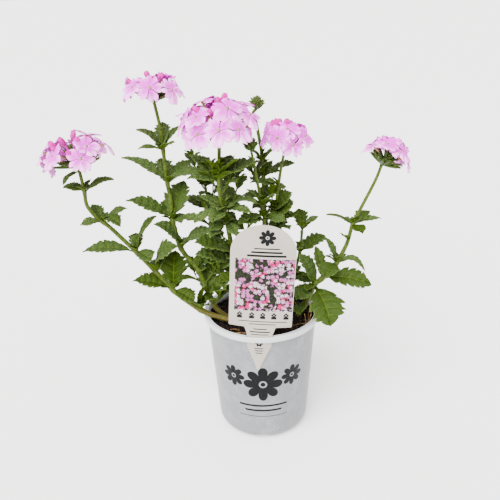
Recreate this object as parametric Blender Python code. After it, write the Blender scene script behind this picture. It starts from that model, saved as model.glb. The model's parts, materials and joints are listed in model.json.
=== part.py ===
"""A trailing verbena in flower, standing in its round nursery pot with its plant label.

Metres, +Z up. The origin is the middle of the pot's base, on the surface that it stands on.
The label is at the front of the pot, towards -Y. Lengths in the tables are millimetres.
"""

import math
from collections import namedtuple

import bmesh
import bpy
from mathutils import Matrix, Vector

MM = 0.001
GAP = 0.35  # clearance kept between neighbouring pieces

POT_HEIGHT = 127.0
RIM_RADIUS = 57.5
RIM_INNER_RADIUS = 52.9
LIP_HEIGHT = 5.4
BODY_TOP_RADIUS = 54.2
BODY_LOW_RADIUS = 46.2
CORNER_HEIGHT = 11.5
FOOT_RADIUS = 35.0
FOOT_WIDTH = 4.5
PAD_RADIUS = 9.0
BASE_RECESS = 2.6
FLOOR_TOP = 4.4
WALL = 1.3
POT_SEGMENTS = 28
NOTCH_COUNT = 4
NOTCH_WIDTH = 15.0
NOTCH_HEIGHT = 3.4
NOTCH_TURN = -93.0  # degrees; the front notch sits a little to the left of the label
DRAIN_RADIUS = 4.0
DRAIN_CIRCLE = 21.0

SOIL_LEVEL = 119.0
SOIL_ROUGHNESS = 1.1
SOIL_RINGS = (20.0, 38.0)

LABEL_THICKNESS = 0.8
LABEL_WIDTH = 57.4
LABEL_SHOULDER = 10.5  # height of the plate's lower corners above the rim
LABEL_TOP = 110.0
LABEL_ARCH = 26.0
LABEL_NECK = 28.4
LABEL_TAIL = 22.6
LABEL_TAIL_STRAIGHT = -10.0
LABEL_POINT = -37.5
LABEL_STEP = 25.0
LABEL_TURN = -2.5  # degrees round the pot from the front
LABEL_TILT = 3.3  # degrees that the plate leans to the right
SLOT_WIDTH = 26.0

STEM_SIDES = 4
SQUARE_STEM = 1.12  # a four-sided tube this much wider has about the section of a round one
STEM_STEP = 16.0
BLADE_THICKNESS = 0.8

Leaf = namedtuple("Leaf", "at azimuth pitch length width roll arch", defaults=(0.58, 0, 0.1))
Stem = namedtuple("Stem", "route thick thin leaves")
Head = namedtuple("Head", "stem lean_to lean spread rise lift floret spacing buds chosen")

# Each stem is the list of places that it passes, from its foot in the soil upwards. A leaf's place
# on it is counted in those places. Azimuth 0 is to the right, -90 to the front. The width is a share
# of the length, and the arch is the rise of the middle of the blade, also as a share.
STEMS = {
    "stem_left": Stem(
        [(-15, -25, 107), (-15, -25, 119), (-22, -23, 125), (-38, -19, 127), (-55, -14, 131),
         (-70, -8, 138), (-86, -4, 150), (-102, 0, 168), (-120, 4, 188), (-144, 8, 213), (-156, 8, 224),
         (-163, 6, 237), (-163, 4, 252), (-165, 3, 274)],
        2.3, 1.2,
        [Leaf(4.3, -60, 65, 38, 0.52, 40), Leaf(6, -171, 21, 41, 0.48), Leaf(6, 82, 66, 40, 0.68),
         Leaf(6, -42, -4, 30), Leaf(7, -29, 49, 44, 0.48, 30, 0.2), Leaf(7, 95, 5, 26),
         Leaf(8, 5, 60, 43, 0.42), Leaf(8, -176, 4, 52, 0.34), Leaf(8, -48, 0, 26, 0.68),
         Leaf(8, 100, 33, 24), Leaf(9.4, 5, 30, 27, 0.46), Leaf(9.4, -42, 6, 28, 0.52, 0, 0.22),
         Leaf(11.9, -4, 23, 32, 0.46), Leaf(11.9, 155, 6, 25)],
    ),
    "stem_second": Stem(
        [(-32, -7, 107), (-32, -7, 119), (-44, -8, 131), (-53, -4, 149), (-61, 0, 170), (-77, 4, 192),
         (-83, 6, 219), (-84, 9, 240), (-86, 11, 255), (-88, 14, 286), (-89, 15, 305), (-93, 16, 330)],
        2.2, 1.1,
        [Leaf(2.7, 101, 56, 33, 0.64), Leaf(4, 49, 35, 30, 0.64),
         Leaf(5, -151, 50, 39, 0.48, -25, 0.16), Leaf(5, 4, 30, 37, 0.48), Leaf(6, -172, 30, 48, 0.44),
         Leaf(6, 62, 55, 41, 0.64), Leaf(6, -7, 6, 32, 0.3), Leaf(6, 109, 30, 30),
         Leaf(8, -174, 34, 48, 0.36), Leaf(8, 110, 42, 29), Leaf(8, -10, 22, 36, 0.46),
         Leaf(8, 39, 30, 33, 0.48), Leaf(9, -164, 43, 31), Leaf(9, -155, 10, 24, 0.34),
         Leaf(9, 33, 47, 28, 0.34), Leaf(9.1, 92, 52, 26)],
    ),
    "stem_middle": Stem(
        [(-20, 0, 107), (-20, 0, 119), (-23, -1, 150), (-26, -4, 184), (-31, -9, 225), (-35, -12, 245),
         (-36, -14, 263), (-35, -16, 280), (-34, -16, 300)],
        2.1, 1.2,
        [Leaf(2.4, -139, 0, 27), Leaf(2.8, -169, 22, 40), Leaf(3.1, -164, 26, 40), Leaf(3.0, 8, 15, 30),
         Leaf(4.4, -160, -14, 30, 0.46), Leaf(4.4, 170, 31, 26, 0.4), Leaf(4.4, -25, 4, 28, 0.4),
         Leaf(4.4, 40, 22, 25), Leaf(4.4, -112, -6, 25), Leaf(6, -167, 11, 29, 0.46),
         Leaf(6, 156, 38, 36, 0.46), Leaf(6, -134, 60, 28, 0.46), Leaf(6, -80, 40, 27),
         Leaf(6, -7, 28, 38, 0.52), Leaf(6, -40, 46, 34, 0.46), Leaf(6, 61, 39, 30)],
    ),
    "stem_right_middle": Stem(
        [(1, 11, 107), (1, 11, 119), (9, 17, 175), (14, 19, 213), (15, 19, 221), (18, 19, 247),
         (20, 18, 262), (24, 16, 284)],
        1.9, 0.9,
        [Leaf(2.6, -80, 10, 24), Leaf(2.6, 55, 12, 24), Leaf(3, -48, 40, 30, 0.68, 30),
         Leaf(3, 10, 11, 23), Leaf(3.9, -27, 54, 30, 0.64, 30), Leaf(4, -139, 54, 24, 0.46),
         Leaf(5, -172, 13, 28, 0.4)],
    ),
    "stem_right": Stem(
        [(36, -4, 107), (36, -4, 119), (43, -6, 134), (51, -8, 155), (59, -8, 163), (72, -6, 177),
         (79, -4, 190), (83, -2, 199), (87, 0, 214), (94, 1, 230), (106, 2, 256), (111, 2, 271)],
        2.2, 1.0,
        [Leaf(2, 60, -8, 28), Leaf(2.7, -125, 5, 28), Leaf(3, 148, 62, 34),
         Leaf(3, -68, -36, 44, 0.78, 0, 0.16), Leaf(3.9, 120, 70, 33, 0.36),
         Leaf(4, -10, -5, 47, 0.42, 25), Leaf(5, 154, 63, 30, 0.34),
         Leaf(5, -18, -8, 28, 0.34, 0, 0.35), Leaf(5, -119, -4, 29, 0.68), Leaf(8, -171, 26, 29, 0.22),
         Leaf(8, 31, 26, 23), Leaf(8, 4, 12, 28, 0.28)],
    ),
    "stem_budding": Stem(
        [(-6, 23, 107), (-6, 23, 119), (6, 30, 188), (4, 33, 230), (4, 35, 252), (3, 37, 274),
         (-2, 39, 304), (-5, 39, 313), (-1, 39, 318)],
        1.8, 1.0,
        [Leaf(2, 60, 10, 28), Leaf(3, 44, 12, 25), Leaf(3, 150, 4, 24), Leaf(4, -7, 26, 34, 0.42),
         Leaf(4, -160, 42, 22, 0.52), Leaf(4.7, -23, 46, 22, 0.68)],
    ),
    "stem_front_bud": Stem(
        [(-11, 10, 107), (-11, 10, 119), (-3, 5, 175), (4, 1, 220), (2, 1, 235), (-2, 1, 259),
         (-6, -1, 283), (-7, -2, 289)],
        1.6, 0.8,
        [Leaf(3, -143, 6, 30), Leaf(3, -35, 10, 24), Leaf(3.9, -156, 52, 25, 0.34),
         Leaf(3.9, -45, 44, 22)],
    ),
    "stem_back_left": Stem(
        [(-21, 27, 107), (-21, 27, 119), (-34, 36, 150), (-46, 42, 185), (-50, 44, 215), (-54, 45, 240)],
        1.8, 1.0,
        [Leaf(2, 170, 20, 36), Leaf(2, -10, 15, 26), Leaf(3, 85, 25, 34), Leaf(3, -100, 15, 30),
         Leaf(4, 175, 25, 32), Leaf(4, 15, 28, 28), Leaf(5, 80, 45, 24), Leaf(5, -75, 50, 22),
         Leaf(5, 160, 40, 22, 0.46), Leaf(5, -5, 40, 22, 0.46)],
    ),
    "stem_back_right": Stem(
        [(18, 25, 107), (18, 25, 119), (32, 32, 145), (40, 33, 172), (42, 34, 196)],
        1.7, 1.0,
        [Leaf(2, -50, 10, 30), Leaf(2, 120, 15, 34), Leaf(3, 30, 20, 34), Leaf(3, -115, 30, 28),
         Leaf(4, 95, 40, 26), Leaf(4, -80, 42, 24), Leaf(4, 10, 40, 22, 0.46)],
    ),
}

# A head sits on the end of its stem and leans by some degrees. Its florets stand on a dome of this
# spread and rise, whose middle is above the stem's end by the lift. Chosen holds the bearing and the
# height angle of the florets that face the front; the others fill the dome with this much between
# them, in degrees.
HEADS = {
    "head_left": Head("stem_left", 180, 6, 29, 20, 11, 12.0, 49, 4,
                      [(-64, 8), (-45, 33), (-116, 22), (190, 22), (15, 18), (60, 46)]),
    "head_second": Head("stem_second", 0, 0, 23, 11, 10, 11.0, 56, 4,
                        [(-88, 26), (-35, 8), (-138, 24), (175, 2), (14, 6)]),
    "head_middle": Head("stem_middle", 0, 0, 31, 23, 14, 12.5, 45, 3,
                        [(-64, 48), (-127, 29), (-86, 4), (-54, 2), (-119, -4), (150, 58),
                         (183, 12), (-14, 24), (22, 50)]),
    "head_right_middle": Head("stem_right_middle", 0, 0, 20, 14, 12, 11.0, 62, 3,
                              [(-81, 43), (-111, 12), (-158, 15), (-69, -15), (-28, 8)]),
    "head_right": Head("stem_right", 0, 30, 19, 13, 11, 11.0, 64, 3,
                       [(-132, 45), (-55, -8), (-60, 50), (-165, 4), (-110, -6)]),
}
BUD_CLUSTERS = {"stem_budding": (12, 11.0), "stem_front_bud": (10, 10.0)}

CUP_HEIGHT = 6.5
CUP_RADIUS = 6.5
CALYX_COUNT = 7
CALYX_LENGTH = 12.0
TUBE_THICKNESS = 1.1
GOLDEN_ANGLE = math.radians(137.508)
FILL_DIRECTIONS = 90
TOP_OF_FILL = 0.88  # sine of the height angle of the highest florets, which leaves room for the buds
LOWEST_FLORET = -12  # degrees
FLORET_FLARE = 0.3  # how far the florets turn their faces upwards from the dome

# A petal, as shares of the floret's radius: it widens from its root to two round lobes.
PETALS = 5
PETAL_ROOT = 0.36
LOBE_REACH = 0.97
NOTCH_REACH = 0.84
LOBE_ANGLE = 0.36  # radians to each side of the petal's middle
PETAL_DROOP = 0.1
THROAT_DEPTH = 2.4

CORE_WIDTH = 0.46  # of the dome's spread
CORE_HEIGHT = 0.6  # of the dome's rise
BUD_RISE = 3.0
BUD_THICKNESS = 2.1

WHITE_PLASTIC = ((0.78, 0.80, 0.81), 0.35)
LABEL_PLASTIC = ((0.86, 0.85, 0.83), 0.4)
PEAT = ((0.018, 0.013, 0.011), 0.95)
LEAF_GREEN = ((0.075, 0.17, 0.045), 0.6)
ORCHID_PINK = ((0.86, 0.50, 0.80), 0.5)

# Shares of a blade's length, and of its half width there, from the stem to just short of the tip.
LARGE_BLADE = ((0.0, 0.06), (0.2, 0.1), (0.37, 0.96), (0.49, 0.62), (0.63, 0.9), (0.76, 0.5))
MIDDLE_BLADE = ((0.0, 0.1), (0.35, 1.0), (0.5, 0.64), (0.69, 0.76))
SMALL_BLADE = ((0.0, 0.12), (0.42, 1.0), (0.66, 0.74))
LARGE_LENGTH = 40
SMALL_LENGTH = 25
BLADE_FOLD = math.radians(16)
LIGHT_TILT = 16  # degrees that a leaf pointing to a side is turned towards the light at the front


def add_object(name, vertices, faces, finish):
    """One closed mesh, given in millimetres, as an object with its own material."""
    mesh = bpy.data.meshes.new(name)
    mesh.from_pydata([Vector(v) * MM for v in vertices], [], faces)
    mesh.validate()
    work = bmesh.new()
    work.from_mesh(mesh)
    bmesh.ops.recalc_face_normals(work, faces=work.faces)
    work.to_mesh(mesh)
    work.free()
    obj = bpy.data.objects.new(name, mesh)
    bpy.context.scene.collection.objects.link(obj)
    if finish:
        colour, roughness = finish
        material = bpy.data.materials.new(name)
        material.use_nodes = True
        shader = material.node_tree.nodes["Principled BSDF"]
        shader.inputs["Base Color"].default_value = (*colour, 1)
        shader.inputs["Roughness"].default_value = roughness
        mesh.materials.append(material)
    return obj


def apply_modifiers(obj):
    graph = bpy.context.evaluated_depsgraph_get()
    obj.data = bpy.data.meshes.new_from_object(obj.evaluated_get(graph))
    obj.modifiers.clear()


def combine(name, shapes, finish, operation="UNION"):
    """The first shape with all the others joined to it, or cut from it."""
    target = add_object(name, *shapes[0], finish)
    others = bpy.data.collections.new(name + "_others")
    bpy.context.scene.collection.children.link(others)
    for index, shape in enumerate(shapes[1:]):
        other = add_object(f"{name}_{index}", *shape, None)
        bpy.context.scene.collection.objects.unlink(other)
        others.objects.link(other)
    boolean = target.modifiers.new("combine", "BOOLEAN")
    boolean.operation = operation
    boolean.operand_type = "COLLECTION"
    boolean.collection = others
    boolean.solver = "MANIFOLD"
    apply_modifiers(target)
    for other in list(others.objects):
        bpy.data.objects.remove(other)
    bpy.data.collections.remove(others)
    return target


def shade_round(obj):
    obj.data.shade_smooth()
    obj.data.set_sharp_from_angle(angle=math.radians(35))


def turned(profile, segments, turn=0.0):
    """A closed solid turned from a list of (radius, height); radius 0 is a pole."""
    vertices, rings = [], []
    for radius, height in profile:
        if radius == 0:
            rings.append([len(vertices)])
            vertices.append((0, 0, height))
            continue
        rings.append(list(range(len(vertices), len(vertices) + segments)))
        for k in range(segments):
            angle = turn + math.tau * k / segments
            vertices.append((radius * math.cos(angle), radius * math.sin(angle), height))
    faces = []
    for low, high in zip(rings, rings[1:]):
        for k in range(segments):
            after = (k + 1) % segments
            if len(low) == 1:
                faces.append((low[0], high[after], high[k]))
            elif len(high) == 1:
                faces.append((low[k], low[after], high[0]))
            else:
                faces.append((low[k], low[after], high[after], high[k]))
    for ring, backwards in ((rings[0], True), (rings[-1], False)):
        if len(ring) > 1:
            faces.append(tuple(reversed(ring)) if backwards else tuple(ring))
    return vertices, faces


def placed(shape, matrix):
    vertices, faces = shape
    return [matrix @ Vector(v) for v in vertices], faces


def direction(azimuth, pitch):
    a, p = math.radians(azimuth), math.radians(pitch)
    return Vector((math.cos(a) * math.cos(p), math.sin(a) * math.cos(p), math.sin(p)))


def along(route, at):
    """The point of a smooth curve through the route's places, at a place counted from its foot."""
    points = [Vector(p) for p in route]
    i = min(int(at), len(points) - 2)
    t = at - i
    before = points[max(i - 1, 0)]
    start, end = points[i], points[i + 1]
    after = points[min(i + 2, len(points) - 1)]
    return 0.5 * (2 * start + (end - before) * t + (2 * before - 5 * start + 4 * end - after) * t**2
                  + (3 * start - before - 3 * end + after) * t**3)


def tube(points, radii, sides):
    """A closed tube through the points, with flat ends."""
    vertices, faces = [], []
    side = Vector((0, 1, 0))
    for i, point in enumerate(points):
        ahead = points[min(i + 1, len(points) - 1)] - points[max(i - 1, 0)]
        ahead.normalize()
        side = (side - ahead * side.dot(ahead)).normalized()
        up = ahead.cross(side)
        for k in range(sides):
            angle = math.tau * (k + 0.5) / sides
            vertices.append(point + radii[i] * (math.cos(angle) * side + math.sin(angle) * up))
    for i in range(len(points) - 1):
        for k in range(sides):
            a, b = i * sides + k, i * sides + (k + 1) % sides
            faces += [(a, b, b + sides), (a, b + sides, a + sides)]
    last = len(vertices) - sides
    for k in range(1, sides - 1):
        faces += [(0, k + 1, k), (last, last + k, last + k + 1)]
    return vertices, faces


def body_radius(height):
    share = (height - CORNER_HEIGHT) / (POT_HEIGHT - LIP_HEIGHT - CORNER_HEIGHT)
    return BODY_LOW_RADIUS + (BODY_TOP_RADIUS - BODY_LOW_RADIUS) * share


def corner(radius_low, radius_high, low, high, steps):
    """Points of a quarter round from a foot up to the wall."""
    turns = [math.pi / 2 * i / steps for i in range(1, steps)]
    return [(radius_low + (radius_high - radius_low) * math.sin(a),
             high - (high - low) * math.cos(a)) for a in turns]


def make_pot():
    rim_low = POT_HEIGHT - LIP_HEIGHT
    web = POT_HEIGHT - WALL
    profile = [(0, 0), (PAD_RADIUS, 0), (PAD_RADIUS + 1, BASE_RECESS),
               (FOOT_RADIUS - FOOT_WIDTH - 1.5, BASE_RECESS), (FOOT_RADIUS - FOOT_WIDTH, 0),
               (FOOT_RADIUS, 0)]
    profile += corner(FOOT_RADIUS, BODY_LOW_RADIUS, 0, CORNER_HEIGHT, 3)
    profile += [(BODY_LOW_RADIUS, CORNER_HEIGHT), (body_radius(web), web),
                (RIM_RADIUS - 1.25, web), (RIM_RADIUS - 1.3, rim_low), (RIM_RADIUS - 0.6, rim_low),
                (RIM_RADIUS, web - 0.2), (RIM_RADIUS - 0.7, POT_HEIGHT),
                (RIM_INNER_RADIUS, POT_HEIGHT),
                (body_radius(rim_low) - WALL, rim_low),
                (body_radius(CORNER_HEIGHT) - WALL, CORNER_HEIGHT)]
    inner = corner(FOOT_RADIUS - WALL, BODY_LOW_RADIUS - WALL, FLOOR_TOP, CORNER_HEIGHT, 2)
    profile += inner[::-1] + [(FOOT_RADIUS - WALL, FLOOR_TOP), (0, FLOOR_TOP)]
    cutters = [label_slot()]
    for k in range(NOTCH_COUNT):
        turn = Matrix.Rotation(math.radians(NOTCH_TURN + 360 * k / NOTCH_COUNT), 4, "Z")
        cutters.append(placed(foot_notch(), turn))
        drain = turned([(DRAIN_RADIUS, -1), (DRAIN_RADIUS, FLOOR_TOP + 1)], 8)
        cutters.append(placed(drain, turn @ Matrix.Translation((DRAIN_CIRCLE, 0, 0))))
    pot = combine("pot", [turned(profile, POT_SEGMENTS)] + cutters, WHITE_PLASTIC, "DIFFERENCE")
    shade_round(pot)


def foot_notch():
    """An arch that runs outwards through the foot ring."""
    steps = 4
    inside, outside = FOOT_RADIUS - FOOT_WIDTH - 2.2, BODY_LOW_RADIUS + 2
    outline = [(-NOTCH_WIDTH / 2, -1.0)]
    for i in range(steps + 1):
        angle = math.pi - math.pi * i / steps
        outline.append((NOTCH_WIDTH / 2 * math.cos(angle), NOTCH_HEIGHT * math.sin(angle)))
    outline.append((NOTCH_WIDTH / 2, -1.0))
    count = len(outline)
    vertices = [(x, y, z) for x in (inside, outside) for y, z in outline]
    faces = [tuple(range(count)), tuple(range(2 * count - 1, count - 1, -1))]
    for k in range(count):
        after = (k + 1) % count
        faces.append((k, after, count + after, count + k))
    return vertices, faces


def label_slot():
    """The curved slot through the top of the rim that the label's tail passes down."""
    inner, outer = body_radius(POT_HEIGHT - WALL) + 0.1, RIM_RADIUS - 1.4
    low, high = POT_HEIGHT - LIP_HEIGHT - 1, POT_HEIGHT + 1
    half = SLOT_WIDTH / 2 / BODY_TOP_RADIUS
    middle = math.radians(-90 + LABEL_TURN)
    steps = 8
    vertices, faces = [], []
    for i in range(steps + 1):
        angle = middle - half + 2 * half * i / steps
        for radius, height in ((inner, low), (outer, low), (outer, high), (inner, high)):
            vertices.append((radius * math.cos(angle), radius * math.sin(angle), height))
    for i in range(steps):
        for k in range(4):
            a, b = 4 * i + k, 4 * i + (k + 1) % 4
            faces.append((a, b, b + 4, a + 4))
    last = 4 * steps
    faces += [(3, 2, 1, 0), (last, last + 1, last + 2, last + 3)]
    return vertices, faces


def make_soil(holes):
    """Potting mix up to just under the rim, with a hole for each stem."""
    side_top = body_radius(SOIL_LEVEL) - WALL - GAP
    side_low = BODY_LOW_RADIUS - WALL - GAP
    bottom = FLOOR_TOP + GAP
    low = [(radius - GAP, height + GAP) for radius, height in
           corner(FOOT_RADIUS - WALL, BODY_LOW_RADIUS - WALL, FLOOR_TOP, CORNER_HEIGHT, 2)]
    profile = [(0, bottom), (FOOT_RADIUS - WALL - 1, bottom)] + low
    profile += [(side_low, CORNER_HEIGHT + GAP), (side_top, SOIL_LEVEL)]
    flat = len(profile)
    profile += [(radius, SOIL_LEVEL) for radius in reversed(SOIL_RINGS)] + [(0, SOIL_LEVEL)]
    vertices, faces = turned(profile, POT_SEGMENTS)
    first = 1 + (flat - 1) * POT_SEGMENTS
    for i in range(first, len(vertices)):
        x, y, z = vertices[i]
        bump = math.sin(0.31 * x + 1.3) * math.cos(0.27 * y) + 0.5 * math.sin(0.7 * y + 0.4 * x)
        vertices[i] = (x, y, z + SOIL_ROUGHNESS * bump / 1.5)
    soil = combine("soil", [(vertices, faces)] + holes, PEAT, "DIFFERENCE")
    shade_round(soil)


def stem_hole(stem):
    x, y, z = stem.route[1]
    radius = (stem.thick + 2 * GAP) / math.cos(math.pi / 6)
    low = stem.route[0][2] - GAP
    profile = [(radius, low), (radius, SOIL_LEVEL - 2.5), (radius + 2.3, SOIL_LEVEL + 3)]
    return placed(turned(profile, 6), Matrix.Translation((x, y, 0)))


def label_outline():
    """(height above the rim, half width) from the tail's point up to the top of the arch."""
    straight = LABEL_TOP - LABEL_ARCH
    between = (LABEL_POINT + LABEL_TAIL_STRAIGHT) / 2
    rows = [(LABEL_POINT, 0.9), (between, LABEL_TAIL * 0.27), (LABEL_TAIL_STRAIGHT, LABEL_TAIL / 2),
            (LABEL_TAIL_STRAIGHT / 2, LABEL_TAIL / 2), (0.0, LABEL_TAIL / 2),
            (3.0, LABEL_TAIL / 2 + 0.6), (LABEL_SHOULDER, LABEL_NECK / 2)]
    rows += [(height, LABEL_WIDTH / 2) for height in
             (LABEL_SHOULDER + 0.5, LABEL_SHOULDER + LABEL_STEP, LABEL_SHOULDER + 2 * LABEL_STEP,
              straight)]
    steps = 6
    for i in range(1, steps + 1):
        angle = math.radians(82) * i / steps
        rows.append((straight + LABEL_ARCH * math.sin(angle), LABEL_WIDTH / 2 * math.cos(angle)))
    return rows


def label_point(across, up, depth):
    """A point of the label: it hugs the pot below the rim and flattens above it."""
    tilt = math.radians(LABEL_TILT)
    x = across * math.cos(tilt) + up * math.sin(tilt)
    z = POT_HEIGHT + up * math.cos(tilt) - across * math.sin(tilt)
    hug = body_radius(min(z, POT_HEIGHT - WALL)) + LABEL_THICKNESS / 2 + 1.3 * GAP
    curl = 1 - 0.8 * min(max((up - 2) / 12, 0), 1)
    bend = math.asin(x / hug) * curl
    y = -hug + curl * (hug - math.sqrt(hug * hug - x * x))
    return Vector((x + depth * math.sin(bend), y - depth * math.cos(bend), z))


def make_label():
    columns = 4
    half = LABEL_THICKNESS / 2
    vertices, faces = [], []
    for up, width in label_outline():
        for depth in (half, -half):
            for k in range(columns + 1):
                vertices.append(label_point(width * (2 * k / columns - 1), up, depth))
    row = 2 * (columns + 1)
    back = columns + 1
    rows = len(vertices) // row
    for i in range(rows - 1):
        a = i * row
        for k in range(columns):
            p, q = a + k, a + k + 1
            faces += [(p, q, q + row), (p, q + row, p + row)]
            p, q = p + back, q + back
            faces += [(q, p, q + row), (p, p + row, q + row)]
        for k in (0, columns):
            p, q = a + k, a + k + back
            faces.append((p, p + row, q + row, q))
    for a in (0, (rows - 1) * row):
        faces.append(tuple(range(a, a + back)) + tuple(range(a + row - 1, a + back - 1, -1)))
    shape = placed((vertices, faces), Matrix.Rotation(math.radians(LABEL_TURN), 4, "Z"))
    add_object("plant_label", *shape, LABEL_PLASTIC)


def blade(base, leaf):
    """A folded, arched leaf with teeth, closed and as thick at its edges as at its rib."""
    ahead = direction(leaf.azimuth, leaf.pitch)
    side = ahead.cross(Vector((0, 0, 1))).normalized()
    lift = side.cross(ahead)
    roll = Matrix.Rotation(math.radians(leaf.roll + LIGHT_TILT * ahead.x), 3, ahead)
    side, normal = roll @ side, roll @ lift
    outline = MIDDLE_BLADE
    if leaf.length >= LARGE_LENGTH:
        outline = LARGE_BLADE
    elif leaf.length < SMALL_LENGTH:
        outline = SMALL_BLADE
    half_width = leaf.length * leaf.width / 2
    half = normal * BLADE_THICKNESS / 2

    def middle(share):
        rise = 4 * share * (1 - share) * leaf.arch
        return base + leaf.length * (share * ahead + rise * lift)

    rows = []
    for share, width in outline:
        out = half_width * width
        edge = normal * out * math.sin(BLADE_FOLD)
        spread = side * out * math.cos(BLADE_FOLD)
        point = middle(share)
        rows.append((point + edge + spread, point, point + edge - spread))
    vertices = [p + offset for row in rows for offset in (half, -half) for p in row]
    tip = len(vertices)
    vertices += [middle(1) + half, middle(1) - half]
    faces = []
    for i in range(len(rows) - 1):
        a, b = 6 * i, 6 * (i + 1)
        for k in (0, 1):
            faces += [(a + k, a + k + 1, b + k + 1), (a + k, b + k + 1, b + k)]
            faces += [(a + k + 4, a + k + 3, b + k + 4), (a + k + 3, b + k + 3, b + k + 4)]
        for k in (0, 2):
            faces += [(a + k, b + k, b + k + 3), (a + k, b + k + 3, a + k + 3)]
    a = 6 * (len(rows) - 1)
    for k in (0, 1):
        faces += [(a + k, a + k + 1, tip), (a + k + 4, a + k + 3, tip + 1)]
        faces += [(k, k + 1, k + 4), (k, k + 4, k + 3)]
    for k in (0, 2):
        faces += [(a + k, tip, tip + 1), (a + k, tip + 1, a + k + 3)]
    return vertices, faces


def stem_tube(stem):
    samples = []
    for i in range(len(stem.route) - 1):
        length = (Vector(stem.route[i + 1]) - Vector(stem.route[i])).length
        parts = max(1, round(length / STEM_STEP))
        samples += [i + k / parts for k in range(parts)]
    samples.append(len(stem.route) - 1)
    top = samples[-1]
    radii = [SQUARE_STEM * (stem.thick + (stem.thin - stem.thick) * at / top) for at in samples]
    return tube([along(stem.route, at) for at in samples], radii, STEM_SIDES)


def head_frame(head):
    """The head's own frame: its origin is the stem's end and its Z runs up its middle."""
    top = Vector(STEMS[head.stem].route[-1])
    lean = Matrix.Rotation(math.radians(head.lean), 4, direction(head.lean_to + 90, 0))
    return Matrix.Translation(top) @ lean


def spindle(start, end, thick, sides=3):
    """A bud: narrow at its foot, widest at two thirds, blunt at its tip."""
    points = [start + (end - start) * share for share in (0, 0.65, 1)]
    return tube(points, [0.5 * thick, thick, 0.4 * thick], sides)


def calyx_cup(frame):
    """The green cup that a head's florets spring from, with a ring of calyces."""
    cup = turned([(0, -1.5), (1.4, 0), (CUP_RADIUS, CUP_HEIGHT - 1), (CUP_RADIUS - 1, CUP_HEIGHT),
                  (0, CUP_HEIGHT)], 6)
    shapes = [placed(cup, frame)]
    for k in range(CALYX_COUNT):
        way = direction(360 * k / CALYX_COUNT + 20, -6)
        start = Vector((0, 0, CUP_HEIGHT - 2.2)) + way * 2
        shapes.append(placed(spindle(start, start + way * CALYX_LENGTH, 1.1), frame))
    return shapes


def bud_cluster(frame, count, height):
    """A young head that is still all green buds, packed round its stem's end."""
    shapes = []
    for k in range(count):
        share = (k + 0.5) / count
        way = direction(math.degrees(k * GOLDEN_ANGLE), 88 - 74 * share)
        start = Vector((0, 0, -1.5))
        end = start + way * (height + 1.5) * (1 - 0.2 * share)
        shapes.append(placed(spindle(start, end, 1.5), frame))
    return shapes


def make_stem(name):
    stem = STEMS[name]
    shapes = [stem_tube(stem)]
    for leaf in stem.leaves:
        shapes.append(blade(along(stem.route, leaf.at), leaf))
    for head in HEADS.values():
        if head.stem == name:
            shapes += calyx_cup(head_frame(head))
    if name in BUD_CLUSTERS:
        top = Vector(stem.route[-1])
        shapes += bud_cluster(Matrix.Translation(top), *BUD_CLUSTERS[name])
    combine(name, shapes, LEAF_GREEN)


def floret_directions(head):
    """The chosen florets, and more in the gaps between them until the dome is covered."""
    found = list(head.chosen)
    ways = [direction(*pair) for pair in found]
    least = math.cos(math.radians(head.spacing))
    lowest = math.sin(math.radians(LOWEST_FLORET))
    for k in range(FILL_DIRECTIONS):
        height = TOP_OF_FILL + (lowest - TOP_OF_FILL) * k / (FILL_DIRECTIONS - 1)
        pitch = math.degrees(math.asin(height))
        azimuth = math.degrees(k * GOLDEN_ANGLE)
        way = direction(azimuth, pitch)
        if all(way.dot(other) < least for other in ways):
            found.append((azimuth, pitch))
            ways.append(way)
    return found


def floret(head, azimuth, pitch, turn):
    """A five-petalled floret, each petal notched, whose tube runs down to the head's core.

    The petals thin out from the throat to their lobes. The first petal points down the head.
    """
    way = direction(azimuth, pitch)
    dome = Vector((head.spread, head.spread, head.rise))
    eye = Vector((0, 0, head.lift)) + Vector(w * d for w, d in zip(way, dome))
    out = Vector(w / d for w, d in zip(way, dome)).normalized()
    out = (out + Vector((0, 0, FLORET_FLARE))).normalized()
    down = (out * out.z - Vector((0, 0, 1))).normalized()
    down = Matrix.Rotation(turn, 3, out) @ down
    across = out.cross(down)
    throat = eye - out * THROAT_DEPTH

    def rim_point(angle, radius, rise):
        flat = math.cos(angle) * down + math.sin(angle) * across
        return eye + head.floret * (radius * flat + rise * out)

    rim = []
    for k in range(PETALS):
        middle = math.tau * k / PETALS
        rim += [rim_point(middle - math.pi / PETALS, PETAL_ROOT, 0),
                rim_point(middle - LOBE_ANGLE, LOBE_REACH, -PETAL_DROOP),
                rim_point(middle, NOTCH_REACH, -0.8 * PETAL_DROOP),
                rim_point(middle + LOBE_ANGLE, LOBE_REACH, -PETAL_DROOP)]
    vertices = [eye, throat] + rim
    faces = []
    for k in range(len(rim)):
        a, b = 2 + k, 2 + (k + 1) % len(rim)
        faces += [(0, a, b), (1, b, a)]
    foot = Vector((2 * way.x, 2 * way.y, CUP_HEIGHT + 3.2))
    radii = [TUBE_THICKNESS, 0.8 * TUBE_THICKNESS]
    return [(vertices, faces), tube([foot, eye - out * THROAT_DEPTH / 3], radii, 3)]


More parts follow.
